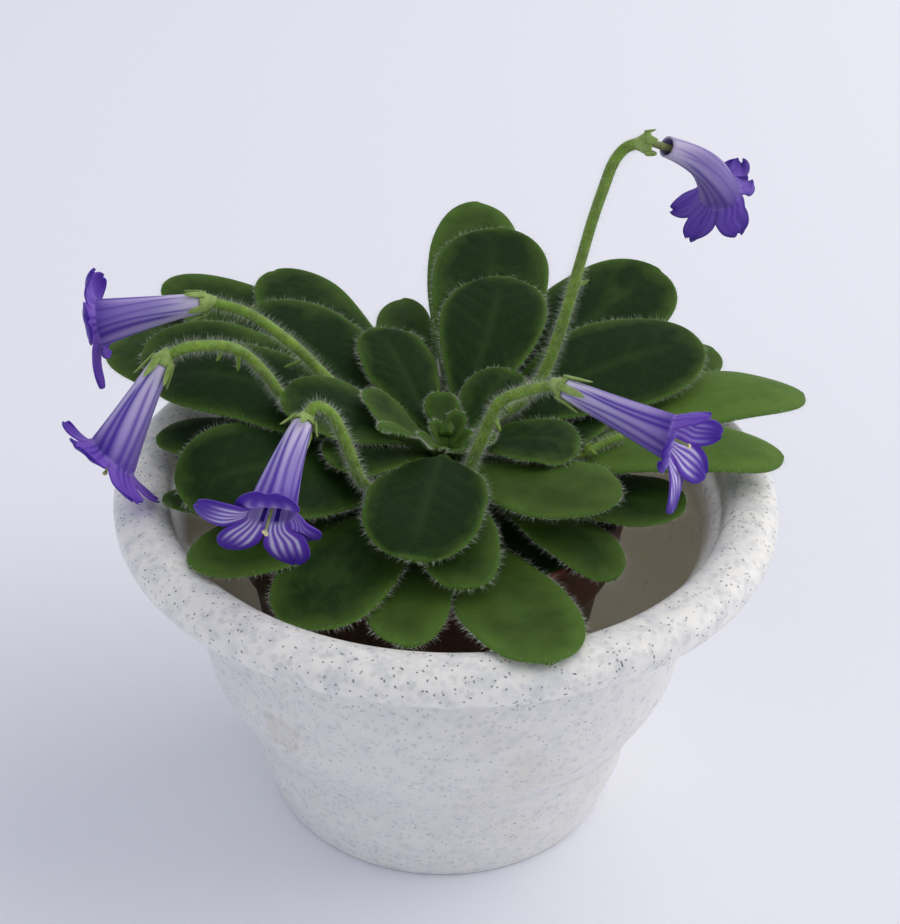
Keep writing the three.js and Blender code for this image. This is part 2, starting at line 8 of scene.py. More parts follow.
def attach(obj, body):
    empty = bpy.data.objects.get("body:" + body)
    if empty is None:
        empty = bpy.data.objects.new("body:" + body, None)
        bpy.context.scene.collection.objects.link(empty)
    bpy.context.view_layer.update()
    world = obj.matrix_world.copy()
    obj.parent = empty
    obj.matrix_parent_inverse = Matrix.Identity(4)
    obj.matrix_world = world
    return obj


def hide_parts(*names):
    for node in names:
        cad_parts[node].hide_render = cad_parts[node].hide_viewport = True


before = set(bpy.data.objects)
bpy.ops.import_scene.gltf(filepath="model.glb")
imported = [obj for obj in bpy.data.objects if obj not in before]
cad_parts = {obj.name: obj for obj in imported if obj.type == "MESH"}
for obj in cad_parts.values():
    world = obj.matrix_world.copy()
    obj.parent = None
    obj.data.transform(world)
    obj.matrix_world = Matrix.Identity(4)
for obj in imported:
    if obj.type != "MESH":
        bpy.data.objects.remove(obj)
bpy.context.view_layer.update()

# All sizes below are millimetres. z is up, and the camera stands on the -y side.
mm = 0.001


def linear(hexCode):
    # sRGB hex to the linear colour a shader wants
    parts = [int(hexCode[i:i + 2], 16) / 255 for i in (0, 2, 4)]
    return tuple(p / 12.92 if p <= 0.04045 else ((p + 0.055) / 1.055) ** 2.4 for p in parts) + (1.0,)


def addNode(tree, kind, settings=None, values=None, links=None):
    node = tree.nodes.new(kind)
    for name, value in (settings or {}).items():
        setattr(node, name, value)
    for socket, value in (values or {}).items():
        node.inputs[socket].default_value = value
    for socket, source in (links or {}).items():
        tree.links.new(source, node.inputs[socket])
    return node


def newMaterial(name):
    material = bpy.data.materials.new(name)
    material.use_nodes = True
    tree = material.node_tree
    tree.nodes.clear()
    shader = addNode(tree, "ShaderNodeBsdfPrincipled")
    addNode(tree, "ShaderNodeOutputMaterial", links={"Surface": shader.outputs[0]})
    return material, tree, shader


def wire(tree, kind, settings, *given):
    # a node whose inputs, in their order, are values, linked sockets, or None for the usual value
    node = addNode(tree, kind, settings)
    for socket, value in zip(node.inputs, given):
        if isinstance(value, bpy.types.NodeSocket):
            tree.links.new(value, socket)
        elif value is not None:
            socket.default_value = value
    return node.outputs


def maths(tree, what, *given, clamped=False):
    return wire(tree, "ShaderNodeMath", {"operation": what, "use_clamp": clamped}, *given)[0]


def vectors(tree, what, *given):
    made = wire(tree, "ShaderNodeVectorMath", {"operation": what}, *given)
    return made["Value" if what in ("DISTANCE", "DOT_PRODUCT") else "Vector"]


def ranged(tree, value, low, high, toLow, toHigh, curve="SMOOTHSTEP"):
    return wire(tree, "ShaderNodeMapRange", {"interpolation_type": curve}, value, low, high, toLow, toHigh)[0]


def noise(tree, where, scale, detail=2.0, roughness=0.5, distortion=0.0):
    return addNode(tree, "ShaderNodeTexNoise", None,
                   {"Scale": scale, "Detail": detail, "Roughness": roughness, "Distortion": distortion},
                   {"Vector": where}).outputs["Fac"]


def mixed(tree, share, one, other):
    # colours given as hex or as sockets
    node = addNode(tree, "ShaderNodeMix", {"data_type": "RGBA"})
    for socket, value in ((0, share), (6, one), (7, other)):
        if isinstance(value, str):
            node.inputs[socket].default_value = linear(value)
        else:
            tree.links.new(value, node.inputs[socket])
    return node.outputs[2]


def stored(tree, name):
    # a number kept at each point of the mesh
    return addNode(tree, "ShaderNodeAttribute", {"attribute_name": name}).outputs["Fac"]


def objectPlace(tree):
    return addNode(tree, "ShaderNodeTexCoord").outputs["Object"]


def ramp(tree, value, *stops):
    # stops: place and hex colour, or place and grey level
    node = addNode(tree, "ShaderNodeValToRGB", None, None, {0: value})
    band = node.color_ramp
    while len(band.elements) < len(stops):
        band.elements.new(0.5)
    for element, (place, colour) in zip(band.elements, stops):
        element.position = place
        element.color = linear(colour) if isinstance(colour, str) else (colour, colour, colour, 1)
    return node.outputs[0]


def finish(tree, shader, values, colour=None, rough=None, height=None, bump=(0.0, 0.0)):
    # values for the shader's own sockets, then what is linked: colour, roughness, and a bump from height,
    # of the given strength and depth in mm
    for name, value in values.items():
        shader.inputs[name].default_value = value
    if colour:
        tree.links.new(colour, shader.inputs["Base Color"])
    if rough:
        tree.links.new(rough, shader.inputs["Roughness"])
    if height:
        made = addNode(tree, "ShaderNodeBump", None, {"Strength": bump[0], "Distance": bump[1] * mm},
                       {"Height": height})
        tree.links.new(made.outputs[0], shader.inputs["Normal"])


def smooth(x, low, high):
    t = np.clip((np.asarray(x, float) - low) / (high - low), 0, 1)
    return t * t * (3 - 2 * t)


def unit(v):
    v = np.asarray(v, float)
    return v / np.maximum(np.linalg.norm(v, axis=-1, keepdims=True), 1e-9)


def ripple(seed, t, waves=3):
    # sum of a few sines, a different one for each seed, between about -1 and 1
    own = np.random.default_rng(seed)
    total = np.zeros_like(np.asarray(t, float))
    for k in range(1, waves + 1):
        total += np.sin(2 * np.pi * (k * t * own.uniform(0.7, 1.4) + own.random())) / k
    return total / 1.6


def meshObject(name, points, faces, materials, fields=None, faceSlots=None):
    mesh = bpy.data.meshes.new(name)
    mesh.from_pydata((np.asarray(points, float) * mm).tolist(), [], [tuple(f) for f in faces])
    for material in materials:
        mesh.materials.append(material)
    if faceSlots is not None:
        mesh.polygons.foreach_set("material_index", np.asarray(faceSlots, np.int32))
    for field, values in (fields or {}).items():
        values = np.asarray(values, np.float32)
        single = values.ndim == 1
        layer = mesh.attributes.new(field, "FLOAT" if single else "FLOAT_VECTOR", "POINT")
        layer.data.foreach_set("value" if single else "vector", values.reshape(-1))
    mesh.shade_smooth()
    mesh.update()
    thing = bpy.data.objects.new(name, mesh)
    bpy.context.collection.objects.link(thing)
    return thing


def quads(rows, columns, closed, start=0, flip=False):
    # faces of a grid of points, closed round its columns or not
    faces = []
    for i in range(rows - 1):
        for j in range(columns if closed else columns - 1):
            k = (j + 1) % columns
            face = [start + i * columns + j, start + i * columns + k,
                    start + (i + 1) * columns + k, start + (i + 1) * columns + j]
            faces.append(face[::-1] if flip else face)
    return faces


def closeEnds(faces, rows, columns, first, last, flip=False):
    # fans from two end points to the first and the last ring of a grid
    end = (rows - 1) * columns
    for j in range(columns):
        k = (j + 1) % columns
        a, b = (j, k) if flip else (k, j)
        faces.append([first, a, b])
        faces.append([last, end + b, end + a])


def catmullRom(points, step):
    # smooth line through the points, resampled every step mm
    p = np.asarray(points, float)
    p = np.vstack([2 * p[0] - p[1], p, 2 * p[-1] - p[-2]])
    line = []
    for i in range(1, len(p) - 2):
        a, b, c, d = p[i - 1:i + 3]
        t0 = 0.0
        t1 = t0 + np.linalg.norm(b - a) ** 0.5
        t2 = t1 + np.linalg.norm(c - b) ** 0.5
        t3 = t2 + np.linalg.norm(d - c) ** 0.5
        for t in np.linspace(t1, t2, 24, endpoint=False):
            ab = (t1 - t) / (t1 - t0) * a + (t - t0) / (t1 - t0) * b
            bc = (t2 - t) / (t2 - t1) * b + (t - t1) / (t2 - t1) * c
            cd = (t3 - t) / (t3 - t2) * c + (t - t2) / (t3 - t2) * d
            abc = (t2 - t) / (t2 - t0) * ab + (t - t0) / (t2 - t0) * bc
            bcd = (t3 - t) / (t3 - t1) * bc + (t - t1) / (t3 - t1) * cd
            line.append((t2 - t) / (t2 - t1) * abc + (t - t1) / (t2 - t1) * bcd)
    line.append(p[-2])
    line = np.array(line)
    run = np.concatenate([[0], np.cumsum(np.linalg.norm(np.diff(line, axis=0), axis=1))])
    places = np.linspace(0, run[-1], max(3, int(round(run[-1] / step)) + 1))
    return np.stack([np.interp(places, run, line[:, k]) for k in range(3)], axis=1)


def framesAlong(line):
    # direction, side and up at each point of a line, turning as little as it can
    along = unit(np.gradient(line, axis=0))
    side = np.zeros_like(line)
    seed = np.array([0, 0, 1.0]) if abs(along[0][2]) < 0.9 else np.array([1.0, 0, 0])
    side[0] = unit(np.cross(seed, along[0]))
    for i in range(1, len(line)):
        flat = side[i - 1] - along[i] * np.dot(side[i - 1], along[i])
        side[i] = unit(flat)
    return along, side, np.cross(along, side)


def tubeParts(line, radii, facets):
    # round tube along a line with both ends closed by a point
    _, side, up = framesAlong(line)
    turn = 2 * np.pi * np.arange(facets) / facets
    ring = (line[:, None, :] + radii[:, None, None]
            * (np.cos(turn)[None, :, None] * side[:, None, :] + np.sin(turn)[None, :, None] * up[:, None, :]))
    points = list(ring.reshape(-1, 3)) + [line[0], line[-1]]
    faces = quads(len(line), facets, True)
    closeEnds(faces, len(line), facets, len(points) - 2, len(points) - 1)
    return points, faces


def plain(thing, name):
    # the evaluated result of a node tree, as an ordinary mesh object
    bpy.context.view_layer.update()
    graph = bpy.context.evaluated_depsgraph_get()
    mesh = bpy.data.meshes.new_from_object(thing.evaluated_get(graph), preserve_all_data_layers=True,
                                           depsgraph=graph)
    mesh.name = name
    result = bpy.data.objects.new(name, mesh)
    bpy.context.collection.objects.link(result)
    return result


# Hair: one node tree that covers any surface with fine hairs, where the named field of the surface says so.
# A field called comb, if the surface has one, pulls the hairs its way.
def hairTree():
    tree = bpy.data.node_groups.new("fineHair", "GeometryNodeTree")
    wanted = [("Surface", "NodeSocketGeometry"), ("Field", "NodeSocketString"),
              ("Hairs per mm2", "NodeSocketFloat"), ("Length mm", "NodeSocketFloat"),
              ("Thickness mm", "NodeSocketFloat"), ("Lean", "NodeSocketFloat"), ("Joints", "NodeSocketInt"),
              ("Seed", "NodeSocketInt"), ("Hair", "NodeSocketMaterial")]
    for name, kind in wanted:
        tree.interface.new_socket(name, in_out="INPUT", socket_type=kind)
    tree.interface.new_socket("Hairs", in_out="OUTPUT", socket_type="NodeSocketGeometry")
    given = addNode(tree, "NodeGroupInput").outputs
    share = addNode(tree, "GeometryNodeInputNamedAttribute", {"data_type": "FLOAT"}, None,
                    {"Name": given["Field"]}).outputs[0]
    density = maths(tree, "MULTIPLY", maths(tree, "MULTIPLY", given["Hairs per mm2"], 1e6), share)
    spots = addNode(tree, "GeometryNodeDistributePointsOnFaces", {"distribute_method": "RANDOM"}, None,
                    {"Mesh": given["Surface"], "Density": density, "Seed": given["Seed"]}).outputs
    # one hair: a slim three-sided cone of unit height, bowed if it has joints
    cone = addNode(tree, "GeometryNodeMeshCone", {"fill_type": "NONE"},
                   {"Vertices": 3, "Radius Top": 0.0, "Radius Bottom": 0.5, "Depth": 1.0},
                   {"Side Segments": given["Joints"]}).outputs["Mesh"]
    place = addNode(tree, "GeometryNodeInputPosition").outputs[0]
    height = wire(tree, "ShaderNodeSeparateXYZ", None, place)[2]
    bow = maths(tree, "MULTIPLY", maths(tree, "MULTIPLY", height, height), 1.6)
    hair = addNode(tree, "GeometryNodeSetPosition", None, None,
                   {"Geometry": cone, "Offset": wire(tree, "ShaderNodeCombineXYZ", None, bow)[0]}).outputs[0]
    # each hair stands off the surface, leans a random way, and turns about its own axis
    lean = addNode(tree, "FunctionNodeRandomValue", {"data_type": "FLOAT_VECTOR"},
                   {0: (-1, -1, -1), 1: (1, 1, 1)}, {"Seed": given["Seed"]}).outputs[0]
    rising = vectors(tree, "ADD", vectors(tree, "SCALE", lean, None, None, given["Lean"]), spots["Normal"])
    comb = addNode(tree, "GeometryNodeInputNamedAttribute", {"data_type": "FLOAT_VECTOR"},
                   {"Name": "comb"}).outputs[0]
    stand = addNode(tree, "FunctionNodeAlignRotationToVector", {"axis": "Z"}, None,
                    {"Vector": vectors(tree, "ADD", rising, comb)}).outputs[0]

    def anyNumber(low, high):
        return addNode(tree, "FunctionNodeRandomValue", {"data_type": "FLOAT"}, {2: low, 3: high},
                       {"Seed": given["Seed"]}).outputs[1]

    spin = addNode(tree, "FunctionNodeAxisAngleToRotation", None, {"Axis": (0, 0, 1)},
                   {"Angle": anyNumber(0.0, 6.283)}).outputs[0]
    turned = addNode(tree, "FunctionNodeRotateRotation", {"rotation_space": "LOCAL"}, None,
                     {0: stand, 1: spin}).outputs[0]
    tall = maths(tree, "MULTIPLY", given["Length mm"], anyNumber(0.45, 1.25))
    size = wire(tree, "ShaderNodeCombineXYZ", None, given["Thickness mm"], given["Thickness mm"], tall)[0]
    hairs = addNode(tree, "GeometryNodeInstanceOnPoints", None, None,
                    {"Points": spots["Points"], "Instance": hair, "Rotation": turned,
                     "Scale": vectors(tree, "SCALE", size, None, None, mm)}).outputs[0]
    solid = addNode(tree, "GeometryNodeRealizeInstances", None, None, {0: hairs}).outputs[0]
    coloured = addNode(tree, "GeometryNodeSetMaterial", None, None,
                       {"Geometry": solid, "Material": given["Hair"]}).outputs[0]
    addNode(tree, "NodeGroupOutput", None, None, {0: coloured})
    return tree


fineHair = hairTree()


def growHair(surface, name, material, field, look, seed):
    # look: hairs per mm2, length, thickness, lean, and 1 for straight hairs or 2 for bowed ones
    modifier = surface.modifiers.new("hair", "NODES")
    modifier.node_group = fineHair
    sockets = {item.name: item.identifier for item in fineHair.interface.items_tree if item.in_out == "INPUT"}
    density, length, thickness, lean, joints = look
    values = {"Field": field, "Hairs per mm2": density, "Length mm": length, "Thickness mm": thickness,
              "Lean": lean, "Joints": joints, "Seed": seed, "Hair": material}
    for socket, value in values.items():
        modifier[sockets[socket]] = value
    hairs = plain(surface, name)
    surface.modifiers.remove(modifier)
    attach(hairs, "root")
    return hairs


def hairMaterial(name, hexCode):
    # Dead plant hair, a hollow clear thread: one pale colour with a soft gloss.
    material, tree, shader = newMaterial(name)
    finish(tree, shader, {"Base Color": linear(hexCode), "Roughness": 0.45, "Specular IOR Level": 0.4})
    return material


stalkHair = hairMaterial("stiffStalkHair", "e8eddc")     # catches the light as a white halo
marginHair = hairMaterial("longMarginHair", "dbe3cf")    # seen one by one along the leaf margins
feltHair = hairMaterial("shortLeafFelt", "526f36")       # short, on the upper face

leafLook = {
    "rows": 38, "across": 22,        # grid of the blade, top and bottom each
    "centre": "122b08", "margin": "4a6b26", "young": "58762f", "back": "42592c", "vein": "3f5f2a",
    "feltSpeckAndGlint": "47622f",
    "felt": 0.02,                    # sheen weight
    "grooveDepth": 0.45, "pillow": 0.28,
    "marginHairs": (5.5, 1.8, 0.05, 0.45, 2), "feltHairs": (1.3, 0.55, 0.045, 0.7, 1),
    "innerHairs": (10, 1.2, 0.05, 0.5, 1), "youngHairs": (3.0, 0.7, 0.045, 0.5, 1),
}

# One row for each leaf, lowest ones first in every whorl: compass angle of the tip, reach from the crown,
# height of the tip, width, height of the root, then whatever differs from leafUsual.
leafUsual = {"arch": 3, "peak": 1.4, "bend": 0, "roll": 0, "late": 0.8, "neck": 0.12, "root": 4,
             "cup": 0.0, "tone": 0.0}
leafRows = [
    (86, 99, 115, 25, 81, {"peak": 1.9, "bend": -1, "tone": 0.35}),
    (82, 79, 117, 31, 86, {"arch": 4, "peak": 1.8, "bend": -2.5}),
    (77, 59, 113, 27, 91, {"arch": 4, "peak": 1.6, "bend": -1.5, "tone": -0.1}),
    (51, 90, 109, 33, 84, {"peak": 1.7, "bend": 5, "roll": 8, "tone": 0.05}),
    (29, 73, 107, 33, 90, {"arch": 4, "peak": 1.5, "bend": 4, "roll": 8, "tone": -0.05}),
    (37, 88, 95, 24, 80, {"arch": 4, "peak": 1.6, "tone": 0.4}),
    (18, 95, 96, 23, 81, {"arch": 9, "peak": 1.6, "late": 1.4, "tone": 0.95, "cup": -0.06}),
    (-2, 81, 97, 23, 85, {"arch": 7, "peak": 1.5, "late": 1.4, "tone": 0.8, "cup": -0.06}),
    (-17, 59, 91, 24, 82, {"tone": 0.15}),
    (-33, 48, 100, 26, 93, {"arch": 1, "peak": 1.2, "neck": 0.15, "bend": -4, "tone": 0.5}),
    (-43.75, 54.4, 85, 16.6, 84, {"arch": 5, "peak": 1.8, "bend": 1, "late": 1, "tone": 0.25}),
    (-74, 82, 93, 26, 81, {"arch": 0, "peak": 1.7, "tone": 0.5}),
    (-49, 39, 80, 20, 78, {"arch": 1, "tone": -0.2}),
    (-85, 54, 93, 18, 90, {"arch": 4, "peak": 1.6, "tone": 0.2}),
    (-98, 51, 98, 28, 95, {"arch": 4, "peak": 1.1, "neck": 0.1, "tone": -0.15, "cup": 0.03}),
    (-97, 67, 86.5, 19, 82, {"arch": 4, "peak": 1.9, "bend": -2, "tone": 0.35}),
    (-116, 71, 88.5, 26, 86, {"arch": 4, "peak": 1.8, "bend": -1, "tone": 0.1}),
    (-140.8, 73.2, 92, 22.8, 83, {"peak": 1.6, "bend": 2.8, "tone": 0.35}),
    (-155, 67, 98, 37, 86, {"arch": 7, "roll": -8, "late": 1.5, "tone": 0.0}),
    (178, 71, 95, 22, 79, {"arch": 5, "late": 1.4, "tone": 0.0}),
    (-160, 70, 94, 16, 82, {"arch": 0, "peak": 1.7, "tone": 0.2}),
    (169, 73, 105, 28, 88, {"arch": 8, "roll": -9, "late": 1.4, "tone": -0.05}),
    (152, 100, 97, 36, 79, {"arch": 8, "peak": 1.6, "bend": -2, "roll": -8, "late": 1.4, "tone": 0.2}),
    (159, 83, 104, 28, 85, {"arch": 7, "bend": -2, "roll": -10, "late": 1.4, "tone": 0.1}),
    (141, 98, 107, 26, 81, {"arch": 4, "bend": -6, "roll": -5, "tone": 0.2}),
    (125, 84, 107, 25, 84, {"arch": 4, "peak": 1.6, "tone": 0.1}),
    (137, 72, 106, 31, 87, {"arch": 4, "roll": -9, "tone": 0.0}),
    (101, 71, 99, 15.5, 83, {"arch": 4, "peak": 1.8, "bend": 2, "tone": 0.2}),
    (116, 43, 107, 18.5, 91, {"tone": -0.15}),
    (-179, 40, 109, 23, 92, {"arch": 4, "roll": -5, "tone": 0.0}),
    (174, 21, 109, 12, 95, {"arch": 1, "tone": 0.1}),
    (-138, 21, 109, 8, 97, {"arch": 0, "tone": 0.2, "cup": 0.2}),
    (99, 14, 103, 8.5, 98, {"arch": 0, "root": 2, "tone": 0.0}),
    (51, 25, 106, 17, 95, {"arch": 2, "tone": 0.0}),
    (-8, 32, 100, 21, 94, {"tone": 0.0}),
    (23, 41, 98, 24, 87, {"arch": 2, "tone": -0.1}),
    (-23, 12, 101, 9, 97, {"arch": 0.5, "tone": 0.05}),
    (-152, 32, 101, 20, 92, {"tone": 0.0}),
    (-144, 39, 88, 18, 83, {"tone": -0.2}),
]
crownSpot = np.array([0.0, 4.0])


def velvetLeafMaterial():
    # Thick living leaf under a felt of short hairs: dull dark green, lighter and yellower to the margin,
    # with a soft pale glow at grazing angles and faint sunken veins.
    look = leafLook
    material, tree, shader = newMaterial("velvetLeafFelted")
    where, edge = objectPlace(tree), stored(tree, "edge")       # edge: mm to the margin
    cloud = noise(tree, where, 110.0, 4.0, 0.6)                # patches about 9 mm across
    felt = noise(tree, where, 1400.0, 3.0, 0.7)                # the felt itself, under a millimetre
    thin = ranged(tree, edge, 0.0, 6.5, 0.3, -0.04)
    lift = ranged(tree, cloud, 0.3, 0.7, -0.16, 0.16, "LINEAR")
    age = maths(tree, "ADD", stored(tree, "tone"), maths(tree, "ADD", thin, lift), clamped=True)
    margin = maths(tree, "POWER", ranged(tree, edge, 0.0, 2.4, 0.9, 0.0), 2.2)
    colour = mixed(tree, age, look["centre"], look["young"])
    colour = mixed(tree, margin, colour, look["margin"])
    colour = mixed(tree, maths(tree, "MULTIPLY", stored(tree, "vein"), 0.2), colour, look["vein"])
    # pale specks over the felt: partly felt texture, partly painted highlight standing for tiny glints on the
    # hairs
    colour = mixed(tree, ranged(tree, felt, 0.5, 0.78, 0.0, 0.25), colour, look["feltSpeckAndGlint"])
    colour = mixed(tree, stored(tree, "under"), colour, look["back"])
    finish(tree, shader,
           {"IOR": 1.45, "Specular IOR Level": 0.12, "Sheen Weight": look["felt"], "Sheen Roughness": 0.45,
            "Sheen Tint": linear("c9dcb4")},
           colour, ranged(tree, felt, 0.3, 0.7, 0.48, 0.7, "LINEAR"),
           maths(tree, "MULTIPLY_ADD", cloud, 0.6, felt), (0.35, 0.25))
    return material


velvetLeaf = velvetLeafMaterial()


def leafObject(index, plan):
    az, reach, tipZ, width, startZ, own = plan
    p = {**leafUsual, **own}
    rows, across = leafLook["rows"], leafLook["across"]
    u = np.linspace(0, 1, rows)
    t = 1 - (1 - u) ** 1.7
    t[-1] = 0.9995
    heading = math.radians(az)
    outward = np.array([math.cos(heading), math.sin(heading)])
    start = crownSpot + outward * p["root"]
    tip = crownSpot + outward * reach
    middle = (start + tip) / 2 + np.array([-outward[1], outward[0]]) * p["bend"] * 2

    def centre(t):
        flat = ((1 - t) ** 2)[:, None] * start + (2 * t * (1 - t))[:, None] * middle + (t ** 2)[:, None] * tip
        lag = t ** p["late"]
        return np.column_stack([flat, startZ + (tipZ - startZ) * t + p["arch"] * 4 * lag * (1 - lag)])

    mid = centre(t)
    along = unit(centre(np.minimum(t + 0.01, 1)) - centre(np.maximum(t - 0.01, 0)))
    left = unit(np.cross([0, 0, 1], along))
    up = np.cross(along, left)
    roll = np.radians(p["roll"]) * np.minimum(t / 0.5, 1)
    left, up = (left * np.cos(roll)[:, None] + up * np.sin(roll)[:, None],
                up * np.cos(roll)[:, None] - left * np.sin(roll)[:, None])
    onBlade = np.clip((t - p["neck"]) / (1 - p["neck"]), 0, 1)
    widest = 0.5 ** (1 / p["peak"])
    fill = np.maximum(0, np.sin(np.pi * onBlade ** p["peak"])) ** 0.55
    blunt = (1 - np.clip((onBlade - widest) / (1 - widest), 0, 1) ** 2.5) ** 0.46
    fill = np.where(onBlade > widest, blunt, fill)
    wobble = 1 + 0.022 * ripple(index * 3 + 1, t, 4) * smooth(t, 0.2, 0.5)
    half = np.hypot(1.7 * np.sqrt(1 - t), width / 2 * fill * wobble)
    thick = (1.2 + (0.85 - 1.2) * smooth(t, 0.05, 0.4)) * (1 - 0.35 * smooth(t, 0.8, 1))
    thick = np.minimum(thick, half * 0.6 + 0.12)
    length = np.linalg.norm(np.diff(mid, axis=0), axis=1).sum()
    blade = smooth(t, p["neck"], p["neck"] + 0.25)
    phi = np.linspace(0, np.pi, across + 1)
    s = np.cos(phi)                                     # 1 at the left margin, -1 at the right one
    side = s[None, :] * half[:, None]                   # mm from the midrib
    round_ = np.sin(phi)[None, :] ** 0.8
    edge = np.minimum(half[:, None] * (1 - np.abs(s))[None, :], (1 - t)[:, None] * length * 0.9)
    # side veins leave the midrib at an angle and curve forwards to the margin
    forward = (t * length)[:, None] - np.abs(side) * 0.75 - 0.02 * side ** 2
    spacing = max(4.0, width / 4.5)
    beat = (forward / spacing) % 1
    lateral = np.exp(-(np.minimum(beat, 1 - beat) * spacing / 0.45) ** 2) * smooth(np.abs(side), 0.3, 1.5)
    lateral = lateral * smooth(edge, 1.0, 3.0)
    midrib = np.exp(-(side / 0.75) ** 2) * (1 - smooth(t, 0.75, 0.98))[:, None]
    vein = np.clip(midrib + 0.6 * lateral, 0, 1) * smooth(t, 0.05, 0.2)[:, None]
    pillow = leafLook["pillow"] * (np.cos(2 * np.pi * beat) * -0.5)
    pillow = pillow * smooth(np.abs(side), 1, 4) * smooth(edge, 1, 4)
    groove = leafLook["grooveDepth"] * np.exp(-(side / 1.3) ** 2) * (1 - 0.6 * t)[:, None]
    sag = p["cup"] * width * (side / max(width / 2, 1)) ** 2
    wave = 0.55 * np.outer(ripple(index * 7 + 2, t, 3), np.ones_like(s)) * np.abs(s) ** 2.2
    wave += 0.45 * np.outer(ripple(index * 7 + 4, t, 3), s)
    wave *= min(1, width / 16)                          # small leaves lie flatter
    shared = (sag + (wave - groove + pillow)) * blade[:, None]
    top = thick[:, None] * round_ + shared
    low = -thick[:, None] * round_ + shared
    topPoints = mid[:, None] + side[..., None] * left[:, None] + top[..., None] * up[:, None]
    lowPoints = mid[:, None] + side[..., None] * left[:, None] + low[..., None] * up[:, None]
    # ring of each row: along the top from left to right, back along the bottom without its two margins
    ring = np.concatenate([topPoints, lowPoints[:, -2:0:-1]], axis=1)
    columns = ring.shape[1]
    points = list(ring.reshape(-1, 3)) + [mid[0], mid[-1] + along[-1] * 0.1]
    faces = quads(rows, columns, True, flip=True)
    closeEnds(faces, rows, columns, len(points) - 2, len(points) - 1, flip=True)

    def bothSides(topValues, lowValues, ends):
        both = np.concatenate([topValues, lowValues[:, -2:0:-1]], axis=1)
        return np.concatenate([both.reshape((-1,) + both.shape[2:]), ends])

    ones = np.ones_like(side)
    rimOnly = np.exp(-edge / 0.35) * smooth(t, 0.05, 0.2)[:, None]
    # which way the margin faces in the plane of the blade
    run = np.concatenate([[0], np.cumsum(np.linalg.norm(np.diff(mid, axis=0), axis=1))])
    slope = np.clip(np.gradient(half, run), -3, 0.8)[:, None, None]
    facing = unit(left[:, None] * np.sign(s)[None, :, None] - along[:, None] * slope)
    comb = facing * (2.2 * np.exp(-edge / 0.7) * np.abs(s)[None, :])[..., None]
    fields = {
        "edge": bothSides(edge, edge, [0.5, 0]),
        "tone": np.full(len(points), p["tone"]),
        "vein": bothSides(vein, vein * 0.5, [0, 0]),
        "under": bothSides(ones * 0, 1 - np.exp(-edge / 1.2), [0, 0]),
        "marginHair": bothSides(rimOnly, rimOnly, [0, 0]),
        "feltHair": bothSides(ones, ones * 0, [0, 0]),
        "comb": bothSides(comb, comb, [(0, 0, 0), tuple(along[-1] * 2.2)]),
    }
    return meshObject(f"leafBlade_{index:02d}", points, faces, [velvetLeaf], fields)


print("leaves")
for index, plan in enumerate(leafRows, 1):
    leaf = leafObject(index, plan)
    fringe = leafLook["innerHairs" if plan[1] < 26 else "marginHairs"]
    growHair(leaf, f"leafMarginHair_{index:02d}", marginHair, "marginHair", fringe, index)
    growHair(leaf, f"leafFelt_{index:02d}", feltHair, "feltHair", leafLook["feltHairs"], index + 100)
    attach(leaf, "root")
    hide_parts(f"leaf_{index:02d}")


stalkLook = {"radius": 1.4, "facets": 16, "step": 0.8, "colour": "7c9f31", "shade": "577723",
             "hairs": (3.8, 2.0, 0.032, 0.3, 2), "calyxHairs": (2.0, 1.0, 0.04, 0.5, 2), "bractWidth": 1.7}

stalkRows = [
    {"path": [(-3, 6, 91.5), (-14, 11, 97), (-27.5, 17, 104.4), (-39, 18.5, 115.8), (-49.3, 19.5, 123),
              (-58, 20, 125.4)],
     "bracts": [(0.6, 4.5, (-1, -0.3, -0.6))]},
    {"path": [(-3, 3.5, 90), (-10, 3, 94.5), (-17, 3, 97.7), (-25, 3.6, 101), (-35, 5.2, 104.8),
              (-39.5, 6.3, 106.9), (-42.3, 4, 113.1), (-46.9, 1, 121.1), (-51, -1, 124.8),
              (-56.9, -3.5, 126.4), (-60.2, -4.5, 126.5), (-62.9, -5.5, 125.8), (-65.1, -6, 125)],
     "bracts": [(0.78, 3.5, (0.1, -0.3, -1)), (0.83, 2.5, (-0.3, -0.3, -1))]},
    {"path": [(-3, 1, 88), (-11, -9, 91.5), (-18.9, -18, 98.7), (-22.2, -22, 110.3), (-25.9, -24, 121.2),
              (-29.3, -25, 123.9), (-31.5, -26, 121.4)],
     "bracts": []},
    {"path": [(4, 2.5, 91), (4.3, -5, 93), (6.8, -9, 102.7), (9.6, -11, 112.6), (11.8, -12, 118.4),
              (17.4, -14, 122.7), (24.2, -17.6, 126.5)],
     "bracts": [(0.64, 3.5, (0.3, -0.2, -1)), (0.72, 1.5, (0.6, 0, -1))]},
    {"path": [(2.5, 7, 91.5), (7, 10, 95.5), (12, 12, 99.5), (17.5, 11.5, 104.5), (22.4, 10, 113.1),
              (25, 10, 121.4), (27.1, 10, 130.2), (29.7, 10, 143.4), (31.9, 10, 154.2), (33.8, 10, 161.8),
              (36, 10, 169.1), (38.1, 10, 172), (40, 10, 173), (41.5, 10, 173.2)],
     "bracts": [(0.57, 2.5, (0.6, -0.4, 1)), (0.59, 2.5, (1, 0.3, 0.2))]},
    {"radius": 1.0,
     "path": [(4, 3.5, 88), (10, 3, 90.5), (20, 1.5, 93), (26.5, 0.5, 95.3), (32.5, 0.5, 97.2),
              (38, 2.8, 98.8), (42, 4, 100)],
     "bracts": [(0.76, 3, (0.3, -0.3, 1)), (0.8, 2, (0.5, -1, 0.2))]},
]

